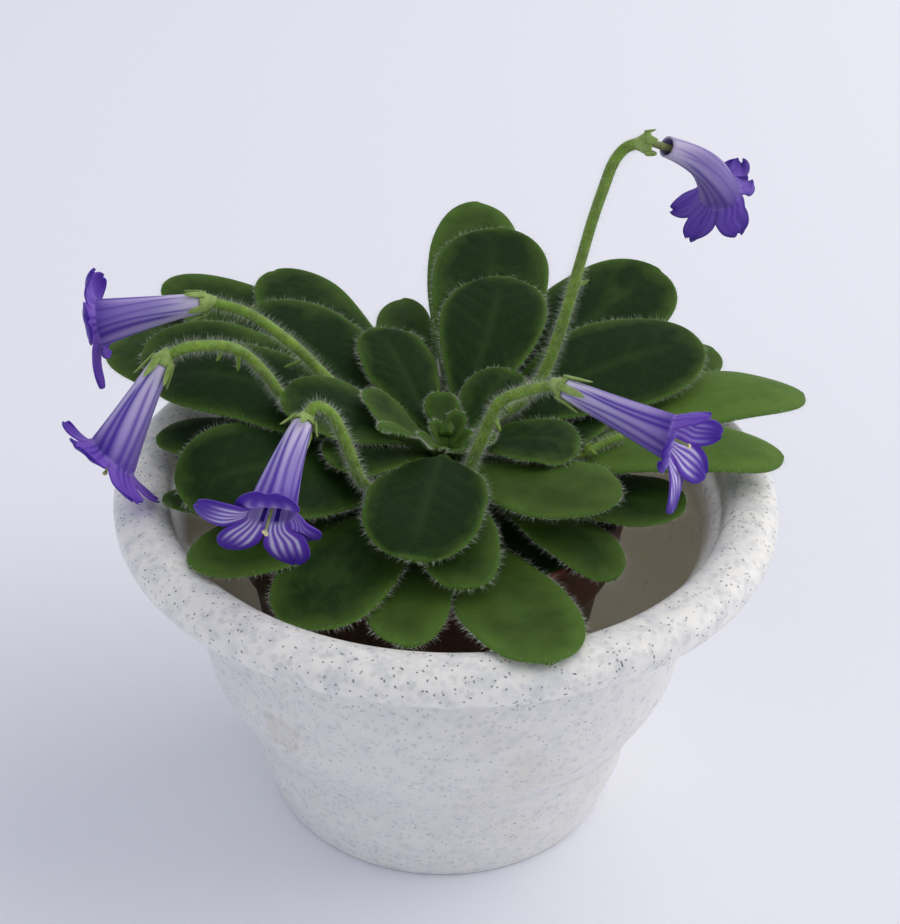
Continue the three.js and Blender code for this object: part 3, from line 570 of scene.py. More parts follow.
# Flowers: bend and mouth of the tube, top: the side between the two upper lobes, and each lobe's angle from
# the top, length, width and final turn outwards.
flowerRows = [
    {"bend": (-72.5, 19, 123.2), "mouth": (-84.8, 17.7, 120.3), "top": (0, 0.54, 0.84),
     "mouthRadius": 5.9, "lip": 0.1, "splay": 12, "calyx": 5, "stigma": 1,
     "lobes": [(34, 10, 8, 145), (-25, 9, 8, 155), (112, 9, 9, 112), (-95, 9, 10, 135), (177, 11, 8, 104)]},
    {"bend": (-71.4, -12.2, 115.2), "mouth": (-77.0, -17.6, 104.4), "top": (-0.89, 0.25, 0.39),
     "mouthRadius": 6.2, "lip": 0.3, "splay": 14, "calyx": 6, "stigma": 4,
     "lobes": [(8, 9, 8, 130), (-64, 9, 10, 130), (80, 9.5, 9, 130), (152, 10, 9, 85), (-136, 10, 8, 90)]},
    {"bend": (-35, -38, 117.5), "mouth": (-37.7, -48, 110.1), "top": (0.8, 0.32, 0.5),
     "mouthRadius": 5.6, "lip": 0.3, "splay": 22, "calyx": 4.5, "stigma": 4, "bars": (226, 262), "calm": 0.35,
     "lobes": [(72, 7.8, 14, 128), (-52, 8, 8, 108), (140, 12, 12, 110), (-82, 11.5, 10, 75),
               (206, 9.5, 9, 68)]},
    {"bend": (37, -25, 124.5), "mouth": (49.3, -30.5, 121.3), "top": (0.5, 0.45, 0.72),
     "mouthRadius": 5.2, "lip": 0.2, "splay": 9, "calyx": 7, "stigma": 4, "depth": 0.2,
     "lobes": [(30, 8, 7, 20), (-60, 12.5, 6.5, 46), (120, 7.5, 9, 120), (-152, 13, 13, 82),
               (-104, 13, 8, 52)]},
    {"foot": (47.4, 10, 172.6), "bend": (58.1, 16, 167.2), "mouth": (62.3, 22, 156.3), "top": (0.8, 0.3, 0.3),
     "mouthRadius": 4.8, "lip": 0.1, "splay": 3, "calyx": 2.6, "stigma": -8, "wilt": 1.0, "depth": 0.25,
     "lobes": [(-8, 5.2, 9, 50), (-40, 8.5, 7, 85), (101, 7.2, 7.5, 88), (163, 9, 7, 90),
               (-148, 9.7, 7, 85)]},
]


def greenStalkMaterial(name, light, shade):
    # Juicy green stalk: thin glossy skin over pale tissue, so light sinks in a little.
    material, tree, shader = newMaterial(name)
    streak = noise(tree, objectPlace(tree), 320.0, 3.0)
    finish(tree, shader,
           {"Roughness": 0.5, "IOR": 1.4, "Subsurface Weight": 0.15, "Subsurface Radius": (0.5, 0.8, 0.2),
            "Subsurface Scale": 0.6 * mm},
           ramp(tree, streak, (0.3, shade), (0.7, light)), None, streak, (0.3, 0.1))
    return material


stalkGreen = greenStalkMaterial("juicyStalkSkin", stalkLook["colour"], stalkLook["shade"])
calyxGreen = greenStalkMaterial("calyxSkin", "9db465", "6f8e3c")
dryGreen = greenStalkMaterial("driedStyleSkin", "8a8f5a", "5d5a38")


def bladeParts(start, end, facing, width, thickness, bow=0.0):
    # slim pointed blade with a round edge, for bracts and calyx lobes
    start, end, facing = (np.asarray(v, float) for v in (start, end, facing))
    along = unit(end - start)
    side = unit(np.cross(along, facing))
    face = np.cross(side, along)
    length = np.linalg.norm(end - start)
    rows, facets = 10, 12
    t = np.linspace(0, 1, rows)
    share = np.interp(t, [0, 0.35, 0.7, 0.92, 1], [0.75, 1, 0.8, 0.38, 0.1])
    turn = 2 * np.pi * np.arange(facets) / facets
    ring = (start + t[:, None, None] * (end - start)
            + (share * width / 2)[:, None, None] * np.cos(turn)[None, :, None] * side
            + (np.sqrt(share) * thickness / 2)[:, None, None] * np.sin(turn)[None, :, None] * face
            + (bow * length * t ** 2)[:, None, None] * face
            - (0.18 * share * width)[:, None, None] * (1 - np.cos(turn)[None, :, None] ** 2) * face * 0.5)
    points = list(ring.reshape(-1, 3)) + [ring[0].mean(0), ring[-1].mean(0) + along * 0.05]
    faces = quads(rows, facets, True)
    closeEnds(faces, rows, facets, len(points) - 2, len(points) - 1)
    return points, faces


def join(batches):
    # several (points, faces) parts as one
    points, faces = [], []
    for some, theirs in batches:
        faces += [[v + len(points) for v in face] for face in theirs]
        points += list(some)
    return np.array(points), faces


def calyxDirection(line, flower):
    return unit(line[-1] - line[-2]) if "foot" in flower else unit(np.array(flower["bend"]) - line[-1])


def around(axis, count, turn=0.0):
    seed = np.array([0, 0, 1.0]) if abs(axis[2]) < 0.9 else np.array([1.0, 0, 0])
    right = unit(np.cross(seed, axis))
    up = np.cross(axis, right)
    angles = turn + 2 * np.pi * np.arange(count) / count
    return np.cos(angles)[:, None] * right + np.sin(angles)[:, None] * up


def calyxParts(line, flower):
    end, axis = line[-1], calyxDirection(line, flower)
    facets = 20
    stations = [(-1.6, 1.2), (-0.7, 1.5), (0.2, 2.0), (1.1, 2.5), (2.0, 2.85), (2.3, 2.7), (1.6, 2.2)]
    rays = around(axis, facets)
    ring = np.array([end + axis * a + rays * r for a, r in stations])
    cupPoints = list(ring.reshape(-1, 3)) + [end - axis * 1.6, end + axis * 1.2]
    cupFaces = quads(len(stations), facets, True)
    closeEnds(cupFaces, len(stations), facets, len(cupPoints) - 2, len(cupPoints) - 1)
    batches = [(cupPoints, cupFaces)]
    splay = math.radians(flower["splay"])
    for n, ray in enumerate(around(axis, 5)):
        start = end + axis * 0.9 + ray * 2.75
        way = axis * math.cos(splay) + ray * math.sin(splay)
        reach = flower["calyx"] * (0.92 + 0.16 * ((n * 7) % 5) / 4)
        batches.append(bladeParts(start, start + way * reach, ray, 1.9, 0.6, 0.03))
    return join(batches)


print("flower stalks")
stalkLines = []
for index, row in enumerate(stalkRows, 1):
    line = catmullRom(row["path"], stalkLook["step"])
    stalkLines.append(line)
    radius = row.get("radius", stalkLook["radius"])
    share = np.linspace(0, 1, len(line))
    radii = radius * (1.03 - 0.12 * share) * (1 + 0.02 * ripple(index, share, 5))
    batches = [tubeParts(line, radii, stalkLook["facets"])]
    along, side, up = framesAlong(line)
    for at, length, toward in row["bracts"]:
        k = int(at * (len(line) - 1))
        way = unit(toward)
        facing = np.cross(np.cross(way, along[k]), way)
        batches.append(bladeParts(line[k] + way * 0.6, line[k] + way * (radius + length), facing,
                                  stalkLook["bractWidth"], 0.9, 0.12))
    points, faces = join(batches)
    stalk = meshObject(f"flowerStalk_{index}", points, faces, [stalkGreen], {"allOver": np.ones(len(points))})
    growHair(stalk, f"stalkHair_{index}", stalkHair, "allOver", stalkLook["hairs"], index + 50)
    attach(stalk, "root")
    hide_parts(f"flower_stalk_{index}")
    if index <= len(flowerRows):
        points, faces = calyxParts(line, flowerRows[index - 1])
        calyx = meshObject(f"calyx_{index}", points, faces, [calyxGreen], {"allOver": np.ones(len(points))})
        growHair(calyx, f"calyxHair_{index}", stalkHair, "allOver", stalkLook["calyxHairs"], index + 70)
        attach(calyx, "root")


petalLook = {"wall": 0.45, "tubeRows": 30, "lobeRows": 18, "lobeColumns": 25, "foot": 2.5, "lobeWidth": 1.1,
             "deep": "2f1480", "faded": "7f709f", "outerLine": "45249f", "innerStreak": "d9d4ee",
             "tubeLines": 13, "tipNotch": 0.05, "streaks": (-0.62, -0.24, 0.14, 0.52),
             "insideStops": [(0.0, "b3a6d2"), (0.42, "9a86cc"), (0.54, "6d42b8"), (0.75, "5a30ae"),
                             (1.0, "4e27a2")],
             "outsideStops": [(0.0, "d0c9e0"), (0.25, "b9add8"), (0.45, "a48fd0"), (0.53, "7b58bf"),
                              (1.0, "6139b3")]}


def corollaMaterial(name, inner):
    # Thin soft petal: matt, slightly pearly, lit through, with violet stripes running from foot to lobe.
    look = petalLook
    material, tree, shader = newMaterial(name)
    place = stored(tree, "place")                               # 0 at the foot, 1 at the mouth, 2 at the tip
    stops = look["insideStops" if inner else "outsideStops"]
    colour = ramp(tree, maths(tree, "MULTIPLY", place, 0.5), *stops)
    colour = mixed(tree, stored(tree, "stripe"), colour, look["innerStreak" if inner else "outerLine"])
    colour = mixed(tree, stored(tree, "dark"), colour, look["deep"])
    colour = mixed(tree, stored(tree, "wilt"), colour, look["faded"])
    finish(tree, shader,
           {"Roughness": 0.55, "IOR": 1.4, "Specular IOR Level": 0.25, "Sheen Weight": 0.06,
            "Subsurface Weight": 0.25, "Subsurface Radius": (0.6, 0.4, 1.0), "Subsurface Scale": 0.8 * mm},
           colour, None, noise(tree, objectPlace(tree), 900.0, 4.0), (0.2, 0.15))
    return material


petalOutside = corollaMaterial("petalSkinOutside", False)
petalInside = corollaMaterial("petalSkinInside", True)


def mouthFrame(line, flower):
    axis0 = calyxDirection(line, flower)
    foot = np.array(flower["foot"], float) if "foot" in flower else line[-1] + axis0 * 2.3
    bend, mouth = np.array(flower["bend"], float), np.array(flower["mouth"], float)
    axis = unit(mouth - bend)
    side = unit(np.cross(axis, flower["top"]))
    return foot, bend, mouth, axis, side, np.cross(side, axis)


def tubeLines(index, theta, t):
    # violet lines along a tube, unequal in width, strength and reach, over two broad soft bands
    own = np.random.default_rng(900 + index)
    count = petalLook["tubeLines"]
    total = 0.5 * smooth(np.sin(2 * theta + own.uniform(0, 6)), 0.0, 0.9) * smooth(t, 0.0, 0.5)
    for k in range(count):
        place = 2 * np.pi * (k + own.uniform(-0.32, 0.32)) / count + 0.12 * np.sin(4 * t + own.uniform(0, 6))
        wide, strength, begin = own.uniform(0.09, 0.2), own.uniform(0.7, 1), own.uniform(-0.3, 0.15)
        off = (theta - place + np.pi) % (2 * np.pi) - np.pi
        line = np.exp(-(off / (wide * (0.7 + 0.5 * t))) ** 2)
        total = np.maximum(total, strength * line * smooth(t, begin, begin + 0.3))
    return total


def corollaObject(index, line, flower):
    foot, bend, mouth, axis, side, top = mouthFrame(line, flower)
    look = petalLook
    lobes = sorted(flower["lobes"], key=lambda lobe: lobe[0] % 360)
    angles = np.radians([lobe[0] % 360 for lobe in lobes])
    count = len(lobes)
    nexts = np.append(angles[1:], angles[0] + 2 * np.pi)
    bounds = (angles + nexts) / 2                       # notch after each lobe
    starts = np.append(bounds[-1] - 2 * np.pi, bounds[:-1])
    columns = look["lobeColumns"]
    share = np.linspace(0, 1, columns)
    wiltAmount = flower.get("wilt", 0.0)
    mouthRadius, lip = flower["mouthRadius"], flower["lip"]

    def bezier(t):
        return (1 - t) ** 2 * foot + 2 * t * (1 - t) * bend + t ** 2 * mouth

    points, fields = [], {"place": [], "stripe": [], "dark": [], "wilt": []}

    def lay(layer):
        # layer: distance outwards from the middle of the petal's thickness
        tube = []
        ringAngles = np.concatenate([starts[i] + (bounds[i] - starts[i]) * share[:-1] for i in range(count)])
        for t in np.linspace(0, 1, look["tubeRows"], endpoint=False):
            along = unit(2 * (1 - t) * (bend - foot) + 2 * t * (mouth - bend))
            across = unit(np.cross(along, top))
            upward = np.cross(across, along)
            radius = look["foot"] + (mouthRadius - look["foot"]) * (0.67 * t + 0.33 * t * t) - 0.3
            folds = 0.16 * t * np.cos(5 * (ringAngles - angles[0]))
            folds = folds + 0.5 * wiltAmount * t * np.sin(3 * ringAngles + 4 * t)
            r = radius + folds + layer
            tube.append(bezier(t) + r[:, None] * (np.cos(ringAngles)[:, None] * upward
                                                  + np.sin(ringAngles)[:, None] * across)
                        - (lip * t * t * radius * np.cos(ringAngles))[:, None] * along)
        return ringAngles, np.array(tube)

    def lobeGrid(i, layer):
        _, length, width, turn = lobes[i]
        centre = angles[i]
        firstTurn, lastTurn = math.radians(40), math.radians(turn)
        rows = []
        rootHalf = mouthRadius * math.sin(math.pi / 5)
        steps = 30                                      # pieces of the curve from the mouth to each row
        for w in np.linspace(0, 1, look["lobeRows"]) ** 0.9:
            w = min(w, 0.985)
            out, forward = mouthRadius - 0.3, 0.0
            for k in range(steps):
                x = (k + 0.5) / steps * w
                tilt = firstTurn + (lastTurn - firstTurn) * x ** 0.7
                out += math.sin(tilt) * w / steps * length
                forward += math.cos(tilt) * w / steps * length
            tilt = firstTurn + (lastTurn - firstTurn) * w ** 0.7
            swell = rootHalf + (width * look["lobeWidth"] / 2 - rootHalf) * float(smooth(w, 0, 0.5))
            notch = look["tipNotch"] + 0.02 * wiltAmount
            half = swell * math.sqrt(1 - max(0, (w - 0.45) / 0.55) ** 2.6)
            s = 2 * share - 1
            sector = starts[i] + (bounds[i] - starts[i]) * share
            own = centre + s * half / max(out, 1)
            blend = float(smooth(w, 0.08, 0.42))
            turnBy = sector * (1 - blend) + own * blend
            radial = np.cos(turnBy)[:, None] * top + np.sin(turnBy)[:, None] * side
            normal = radial * math.cos(tilt) - axis * math.sin(tilt)
            # soft keel down the middle, curling edges, and a shallow notch at the tip
            wave = (0.5 * w * (np.abs(s) ** 2) - 0.35 * w) * (0.8 + 0.5 * wiltAmount)
            curl = ripple(index * 31 + i * 5, s * 0.7 + w * 0.5, 3) * flower.get("calm", 1.0)
            wave = wave + 0.42 * w * curl * (0.7 + wiltAmount)
            pull = notch * length * w ** 4 * np.exp(-(s / 0.35) ** 2)
            inward = radial * math.sin(tilt) + axis * math.cos(tilt)
            rows.append(mouth + radial * out
                        + axis * (forward - lip * mouthRadius * np.cos(turnBy))[:, None]
                        + normal * (layer + wave)[:, None] - inward * pull[:, None])
        return np.array(rows)

    halfWall = look["wall"] / 2
    faces, slots = [], []
    rims = {}
    for shell, layer in (("out", halfWall), ("in", -halfWall)):
        ringAngles, tube = lay(layer)
        rows, ringCount = tube.shape[:2]
        base = len(points)
        points.extend(tube.reshape(-1, 3))
        flip = shell == "in"
        t = np.repeat(np.linspace(0, 1, rows, endpoint=False), ringCount)
        theta = np.tile(ringAngles, rows)
        fields["place"].extend(t)
        fields["stripe"].extend(tubeLines(index, theta, t) * (1.0 if shell == "out" else 0.35))
        patch = np.exp(-((t - 0.98) / 0.14) ** 2) * np.clip(0.5 + 0.5 * np.cos(theta), 0, 1)
        for at in flower.get("bars", []):                # the two filaments' dark feet in the throat
            off = np.abs((theta - math.radians(at) + np.pi) % (2 * np.pi) - np.pi)
            patch = np.maximum(patch, 2.0 * (off < 0.11) * (t > 0.78) * (shell == "in"))
        fields["dark"].extend(np.clip(patch * 0.5 + flower.get("depth", 0) * smooth(t, 0.0, 0.4), 0, 1))
        fields["wilt"].extend(np.full(len(t), 0.3 * wiltAmount))
        made = quads(rows, ringCount, True, base, flip)
        faces += made
        slots += [0 if shell == "out" else 1] * len(made)
        lastRing = base + (rows - 1) * ringCount
        rims[shell] = {"foot": base, "count": ringCount, "lobes": []}
        for i in range(count):
            grid = lobeGrid(i, layer)
            start = len(points)
            n = grid.shape[0]
            points.extend(grid.reshape(-1, 3))          # neighbouring lobes share a corner, welded later
            w = np.repeat(np.linspace(0, 1, n) ** 0.9, columns)
            s = np.tile(2 * share - 1, n)
            fields["place"].extend(1 + w)
            if shell == "in":
                streak = sum(np.exp(-((s - at) / 0.085) ** 2) * (1 - smooth(w, 0.34 + 0.3 * abs(at), 0.85))
                             for at in look["streaks"])
                lower = 1.0 if 130 < (lobes[i][0] % 360) < 300 else 0.35
                fields["stripe"].extend(streak * lower * (1 - 0.7 * wiltAmount))
            else:
                streak = np.exp(-((np.abs(np.abs(s) - 0.4)) / 0.12) ** 2) * (1 - w) * 0.8
                fields["stripe"].extend(streak + 0.9 * np.exp(-(s / 0.1) ** 2) * (1 - smooth(w, 0.3, 0.9)))
            tipDark = smooth(w, 0.35, 1.0) * 0.55 + 0.25 * smooth(np.abs(s), 0.75, 1)
            old = wiltAmount * (0.1 + 0.4 * smooth(np.abs(s), 0.7, 1) + 0.3 * smooth(w, 0.8, 1))
            fields["dark"].extend(np.clip(tipDark * (1.0 if shell == "in" else 0.35) + old, 0, 1))
            fields["wilt"].extend(np.full(len(w), 0.12 * wiltAmount))
            made = quads(n, columns, False, start, flip)
            faces += made
            slots += [0 if shell == "out" else 1] * len(made)
            # seam between the tube's last ring and the lobe's first row
            for j in range(columns - 1):
                a = lastRing + (i * (columns - 1) + j) % ringCount
                b = lastRing + (i * (columns - 1) + j + 1) % ringCount
                face = [a, b, start + j + 1, start + j]
                faces.append(face[::-1] if flip else face)
                slots.append(0 if shell == "out" else 1)
            rims[shell]["lobes"].append((start, n))
    # close the free edges between the two skins
    out, inn = rims["out"], rims["in"]
    for j in range(out["count"]):
        k = (j + 1) % out["count"]
        faces.append([out["foot"] + k, out["foot"] + j, inn["foot"] + j, inn["foot"] + k])
        slots.append(0)
    for (a, n), (b, _) in zip(out["lobes"], inn["lobes"]):
        edge = [(r, 0) for r in range(n)] + [(n - 1, c) for c in range(1, columns)] \
            + [(r, columns - 1) for r in range(n - 2, -1, -1)]
        for (r0, c0), (r1, c1) in zip(edge, edge[1:]):
            p, q = r0 * columns + c0, r1 * columns + c1
            faces.append([a + p, a + q, b + q, b + p])
            slots.append(0)
    thing = meshObject(f"corolla_{index}_petals", points, faces, [petalOutside, petalInside], fields, slots)
    clean(thing)
    return thing


def clean(thing):
    # welds the shared corners and turns every face outwards
    work = bmesh.new()
    work.from_mesh(thing.data)
    bmesh.ops.remove_doubles(work, verts=work.verts, dist=0.02 * mm)
    bmesh.ops.recalc_face_normals(work, faces=work.faces)
    work.to_mesh(thing.data)
    work.free()
    thing.data.shade_smooth()


print("corollas")
for index, flower in enumerate(flowerRows, 1):
    petals = corollaObject(index, stalkLines[index - 1], flower)
    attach(petals, "root")
    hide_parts(f"corolla_{index}")


pistilLook = {"ovary": "b9c67c", "stigma": "efeab4"}
ovaryGreen = greenStalkMaterial("styleSkin", pistilLook["ovary"], "8fa256")
stigmaCream = greenStalkMaterial("stigmaSkin", pistilLook["stigma"], "d8cf86")

print("pistils")
for index, flower in enumerate(flowerRows, 1):
    line = stalkLines[index - 1]
    foot, bend, mouth, axis, side, top = mouthFrame(line, flower)
    root = line[-1] + calyxDirection(line, flower) * 2.3

    def onTube(t):
        return (1 - t) ** 2 * foot + 2 * t * (1 - t) * bend + t ** 2 * mouth

    tip = mouth + axis * flower["stigma"]
    path = catmullRom([root, onTube(0.15), onTube(0.4), onTube(0.7), tip], 0.7)
    run = np.linspace(0, 1, len(path))
    radii = np.interp(run, [0, 0.12, 0.3, 0.42, 0.7, 1], [0.7, 0.9, 0.72, 0.4, 0.34, 0.34])
    stem = tubeParts(path, radii, 10)
    end = path[-1]
    lobesLine = np.array([end + side * x + axis * (0.25 * abs(x)) for x in np.linspace(-1.35, 1.35, 9)])
    stigma = tubeParts(lobesLine, np.array([0.12, 0.36, 0.5, 0.52, 0.42, 0.52, 0.5, 0.36, 0.12]), 10)
    points, faces = join([stem, stigma])
    slots = [0] * len(stem[1]) + [1] * len(stigma[1])
    skin = dryGreen if flower.get("wilt") else ovaryGreen
    pistil = meshObject(f"style_{index}", points, faces, [skin, stigmaCream], None, slots)
    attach(pistil, "root")
    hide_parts(f"pistil_{index}")


def lathe(name, profile, facets, materials, x=0.0, y=0.0, shape=None, field=None):
    # profile of (radius, height), first and last on the axis or closed on itself
    profile = np.array(profile, float)
    angles = 2 * np.pi * np.arange(facets) / facets
    points, faces, rings = [], [], []
    for r, z in profile:
        if r < 1e-6:
            rings.append([len(points)])
            points.append((x, y, z))
        else:
            rings.append(list(range(len(points), len(points) + facets)))
            for a in angles:
                rr, zz = shape(r, a, z) if shape else (r, z)
                points.append((x + rr * math.cos(a), y + rr * math.sin(a), zz))
    for low, high in zip(rings, rings[1:]):
        for j in range(facets):
            k = (j + 1) % facets
            if len(low) == 1 and len(high) == 1:
                continue
            if len(low) == 1:
                faces.append([low[0], high[k], high[j]])
            elif len(high) == 1:
                faces.append([low[j], low[k], high[0]])
            else:
                faces.append([low[j], low[k], high[k], high[j]])
    thing = meshObject(name, points, faces, materials, field and {field[0]: field[1](np.array(points))})
    clean(thing)
    return thing


def rounded(profile, times=2):
    # cuts the corners of an open profile a few times, ends kept
    p = [np.array(q, float) for q in profile]
    for _ in range(times):
        new = [p[0]]
        for a, b in zip(p, p[1:]):
            new += [a * 0.75 + b * 0.25, a * 0.25 + b * 0.75]
        new.append(p[-1])
        p = new
    return [tuple(q) for q in p]


# inside: the inner wall's colour, partly dirt and partly a painted glow of light coming through the thin wall
outerLook = {"facets": 144, "wall": 2.5, "white": "ecebe6", "grey": "d3d5d6", "stain": "d2ceba",
             "inside": "efe9db", "fleck": "4b4f57", "smallFleck": "85888c", "deepFleck": "a7a9ab",
             "dirt": "b3a88b", "waterRing": (-36.3, -48.1, 48.5)}
rimCentre, rimHalf = (73.4, 87.1), (6.6, 4.2)
outerSkin = [(43, 0), (44.1, 0.8), (44.6, 2.4), (47.6, 12), (49.9, 24), (54.5, 33), (59.1, 42), (60.9, 52),
             (62.6, 62), (64, 72), (65.2, 80)]


def fleckedPlasticMaterial():
    # Moulded polypropylene: white with short dark fibres mixed in, sharp at the skin and grey deeper
    # down, over soft marbling from the melt. Glossy, with faint scale left by hard water.
    look = outerLook
    material, tree, shader = newMaterial("fleckedPolypropyleneMoulded")
    where, inner = objectPlace(tree), stored(tree, "inside")
    parts = wire(tree, "ShaderNodeSeparateXYZ", None, where)

    def fibres(cell, length, width, soft, seed):
        # random cells in space; each holds one short fibre lying in a random direction, all in mm
        shifted = vectors(tree, "ADD", where, (seed, seed * 0.7, seed * 1.3))
        cells = addNode(tree, "ShaderNodeTexVoronoi", {"feature": "F1"},
                        {"Scale": 1000.0 / cell, "Randomness": 1.0}, {"Vector": shifted}).outputs
        away = vectors(tree, "SUBTRACT", shifted, cells["Position"])
        way = vectors(tree, "NORMALIZE", vectors(tree, "SUBTRACT", cells["Color"], (0.5, 0.5, 0.5)))
        kept = wire(tree, "ShaderNodeClamp", None, vectors(tree, "DOT_PRODUCT", away, way),
                    -length / 2 * mm, length / 2 * mm)[0]
        off = vectors(tree, "DISTANCE", away, vectors(tree, "SCALE", way, None, None, kept))
        return ranged(tree, off, width * 0.5 * mm, (width * 0.5 + soft) * mm, 1.0, 0.0)

    sharp = fibres(2.6, 1.1, 0.2, 0.14, 0.0)
    small = fibres(1.7, 0.35, 0.2, 0.22, 0.31)
    deep = fibres(2.7, 1.0, 0.5, 0.7, 0.17)
    clear = ranged(tree, parts[2], 0.06, 0.083, 0.5, 1.0)      # the body is cloudier than the rim
    cloud = noise(tree, where, 210.0, 3.0, 0.6, 0.4)
    blotch = noise(tree, where, 22.0, 3.0)
    marbling = maths(tree, "MULTIPLY", ranged(tree, cloud, 0.32, 0.6, 0.8, 0.0), clear)
    colour = mixed(tree, marbling, look["white"], look["grey"])
    colour = mixed(tree, ranged(tree, blotch, 0.55, 0.8, 0.0, 0.5), colour, look["stain"])
    colour = mixed(tree, maths(tree, "MULTIPLY", deep, 0.26), colour, look["deepFleck"])
    colour = mixed(tree, maths(tree, "MULTIPLY", small, clear), colour, look["smallFleck"])
    # the dark fibres lie in loose flocks
    flocks = ranged(tree, noise(tree, where, 260.0, 1.0), 0.46, 0.52, 0.0, 1.0)
    strong = maths(tree, "MULTIPLY", flocks, clear)
    colour = mixed(tree, maths(tree, "MULTIPLY", sharp, strong), colour, look["fleck"])
    # the inner wall and floor are painted a plain warm cream over the flecks: partly dirt, partly painted
    # glow of light that comes through the thin white wall
    innerDirtAndGlow = ranged(tree, blotch, 0.35, 0.65, 0.8, 1.0, "LINEAR")
    colour = mixed(tree, maths(tree, "MULTIPLY", innerDirtAndGlow, inner), colour, look["inside"])
    # a dried ring of hard water on the front left, its edge darker than its middle
    fromRing = vectors(tree, "DISTANCE", where, tuple(v * mm for v in look["waterRing"]))
    ragged = maths(tree, "MULTIPLY_ADD", cloud, 0.009, fromRing)
    ring = ramp(tree, maths(tree, "MULTIPLY", ragged, 75.0, clamped=True),
                (0.0, 0.25), (0.55, 0.3), (0.68, 0.75), (0.8, 0.0))
    colour = mixed(tree, maths(tree, "MULTIPLY", ring, 0.38), colour, look["dirt"])
    # dirt that has settled along the waist, more of it on the window side, none inside
    fromWaist = maths(tree, "ABSOLUTE", maths(tree, "SUBTRACT", parts[2], 0.0325))
    settled = maths(tree, "MULTIPLY", ranged(tree, fromWaist, 0.0, 0.0022, 1.0, 0.0),
                    ranged(tree, parts[0], 0.0, 0.035, 0.05, 0.45))
    shown = maths(tree, "MULTIPLY", settled, maths(tree, "SUBTRACT", 1.0, inner))
    patchy = maths(tree, "MULTIPLY", shown, ranged(tree, cloud, 0.38, 0.6, 0.0, 1.0))
    colour = mixed(tree, patchy, colour, look["dirt"])
    finish(tree, shader,
           {"IOR": 1.49, "Subsurface Weight": 0.5, "Subsurface Radius": (1.0, 0.95, 0.85),
            "Subsurface Scale": 6.0 * mm},
           colour, ranged(tree, cloud, 0.3, 0.7, 0.26, 0.42, "LINEAR"), blotch, (0.15, 0.2))
    return material


def nurseryPlasticMaterial():
    # Thin blown polypropylene in brown-red: satin, its lip glowing orange where light comes through.
    material, tree, shader = newMaterial("nurseryPolypropyleneThin")
    dust = noise(tree, objectPlace(tree), 160.0, 5.0, 0.65)
    finish(tree, shader,
           {"IOR": 1.49, "Subsurface Weight": 0.2, "Subsurface Radius": (2.0, 0.5, 0.2),
            "Subsurface Scale": 1.0 * mm},
           ramp(tree, dust, (0.3, "35150d"), (0.62, "4f2114"), (0.8, "6d4232")),
           ranged(tree, dust, 0.0, 1.0, 0.35, 0.65, "LINEAR"))
    return material


def pottingSoilMaterial():
    # Peat and bark crumbs: almost black, dull, with a few paler fibres.
    material, tree, shader = newMaterial("peatSoilCrumbled")
    crumb = noise(tree, objectPlace(tree), 420.0, 6.0, 0.7)
    finish(tree, shader, {"Roughness": 0.95},
           ramp(tree, crumb, (0.35, "120e0a"), (0.6, "2a2018"), (0.75, "4a3826")), None, crumb, (0.8, 0.8))
    return material


print("outer pot")
flecked = fleckedPlasticMaterial()
skinLine = catmullRom([(r, 0, z) for r, z in outerSkin[2:]], 1.6)[:, [0, 2]]
ringRows = [(13, 0.8, 2), (19, 1, 2), (25, 0.9, 2), (31, 0.6, 1.6), (76, 0.5, 1.2)]     # height, share, width
rings = 0.4 * sum(share * np.exp(-((skinLine[:, 1] - z) / width) ** 2) for z, share, width in ringRows)
skinLine[:, 0] += rings - 0.1
roll = [(rimCentre[0] + rimHalf[0] * math.cos(a), rimCentre[1] + rimHalf[1] * math.sin(a))
        for a in np.linspace(0, math.pi, 25)]
inside = [(r - outerLook["wall"], z) for r, z in skinLine[::-1] if z > 6]
bottom = [(0, 1.2), (38, 1.2), (39.2, 0.1), (41.5, 0), (42.8, 0), (43.5, 0.25), (43.95, 0.85), (44.25, 1.6)]
underRim = [(65.5, 83.4), (66.2, 84.6), (67.5, 84.9), (75.8, 84.6), (77.6, 83.4), (78.6, 83.1), (79.5, 83.9),
            (79.95, 85.4)]
innerFoot = [(42.7, 4.7), (41.9, 3.6), (40.5, 3), (0, 3)]
outerProfile = (bottom + [tuple(q) for q in skinLine] + underRim + roll + [(66.4, 85.6), (64.6, 83.6)]
                + inside + innerFoot)


def insideShare(points):
    # 1 on the inner wall and floor, fading out under the rolled rim
    radius = np.hypot(points[:, 0], points[:, 1])
    wall = np.interp(points[:, 2], skinLine[:, 1], skinLine[:, 0]) - outerLook["wall"] / 2
    return (radius < wall) * (points[:, 2] > 2) * smooth(points[:, 2], 86, 80)


outerPot = lathe("outerPotFlecked", outerProfile, outerLook["facets"], [flecked],
                 field=("inside", insideShare))
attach(outerPot, "root")
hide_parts("outer_pot")

print("nursery pot and soil")
nurseryLook = {"x": -4.5, "y": 6, "foot": 3.3, "facets": 96, "soilTop": 76}
foot = nurseryLook["foot"]
nurseryProfile = [(0, foot), (34, foot), (34.9, foot + 0.8), (44.8, 66.4), (45.3, 67.2), (47.2, 67.9),
                  (47.6, 69), (49, 83.2), (50.2, 84), (50.35, 85), (49.9, 85.9), (48.9, 86), (48.2, 85.2),
                  (47.9, 83.4), (46.4, 70), (46, 69), (44, 68.2), (43.7, 67), (33.9, foot + 1.6),
                  (33.2, foot + 1.2), (0, foot + 1.2)]
nurseryPot = lathe("nurseryPotThin", rounded(nurseryProfile, 1), nurseryLook["facets"],
                   [nurseryPlasticMaterial()], nurseryLook["x"], nurseryLook["y"])
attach(nurseryPot, "root")
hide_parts("nursery_pot")


def lumpy(r, a, z):
    if z < 75 or r > 45.5:
        return r, z
    bump = math.sin(r * 0.9 + 3 * a) * math.cos(r * 0.55 - 5 * a) * 0.5 + math.sin(r * 2.3 + 11 * a) * 0.25
    return r, z + bump - 0.2


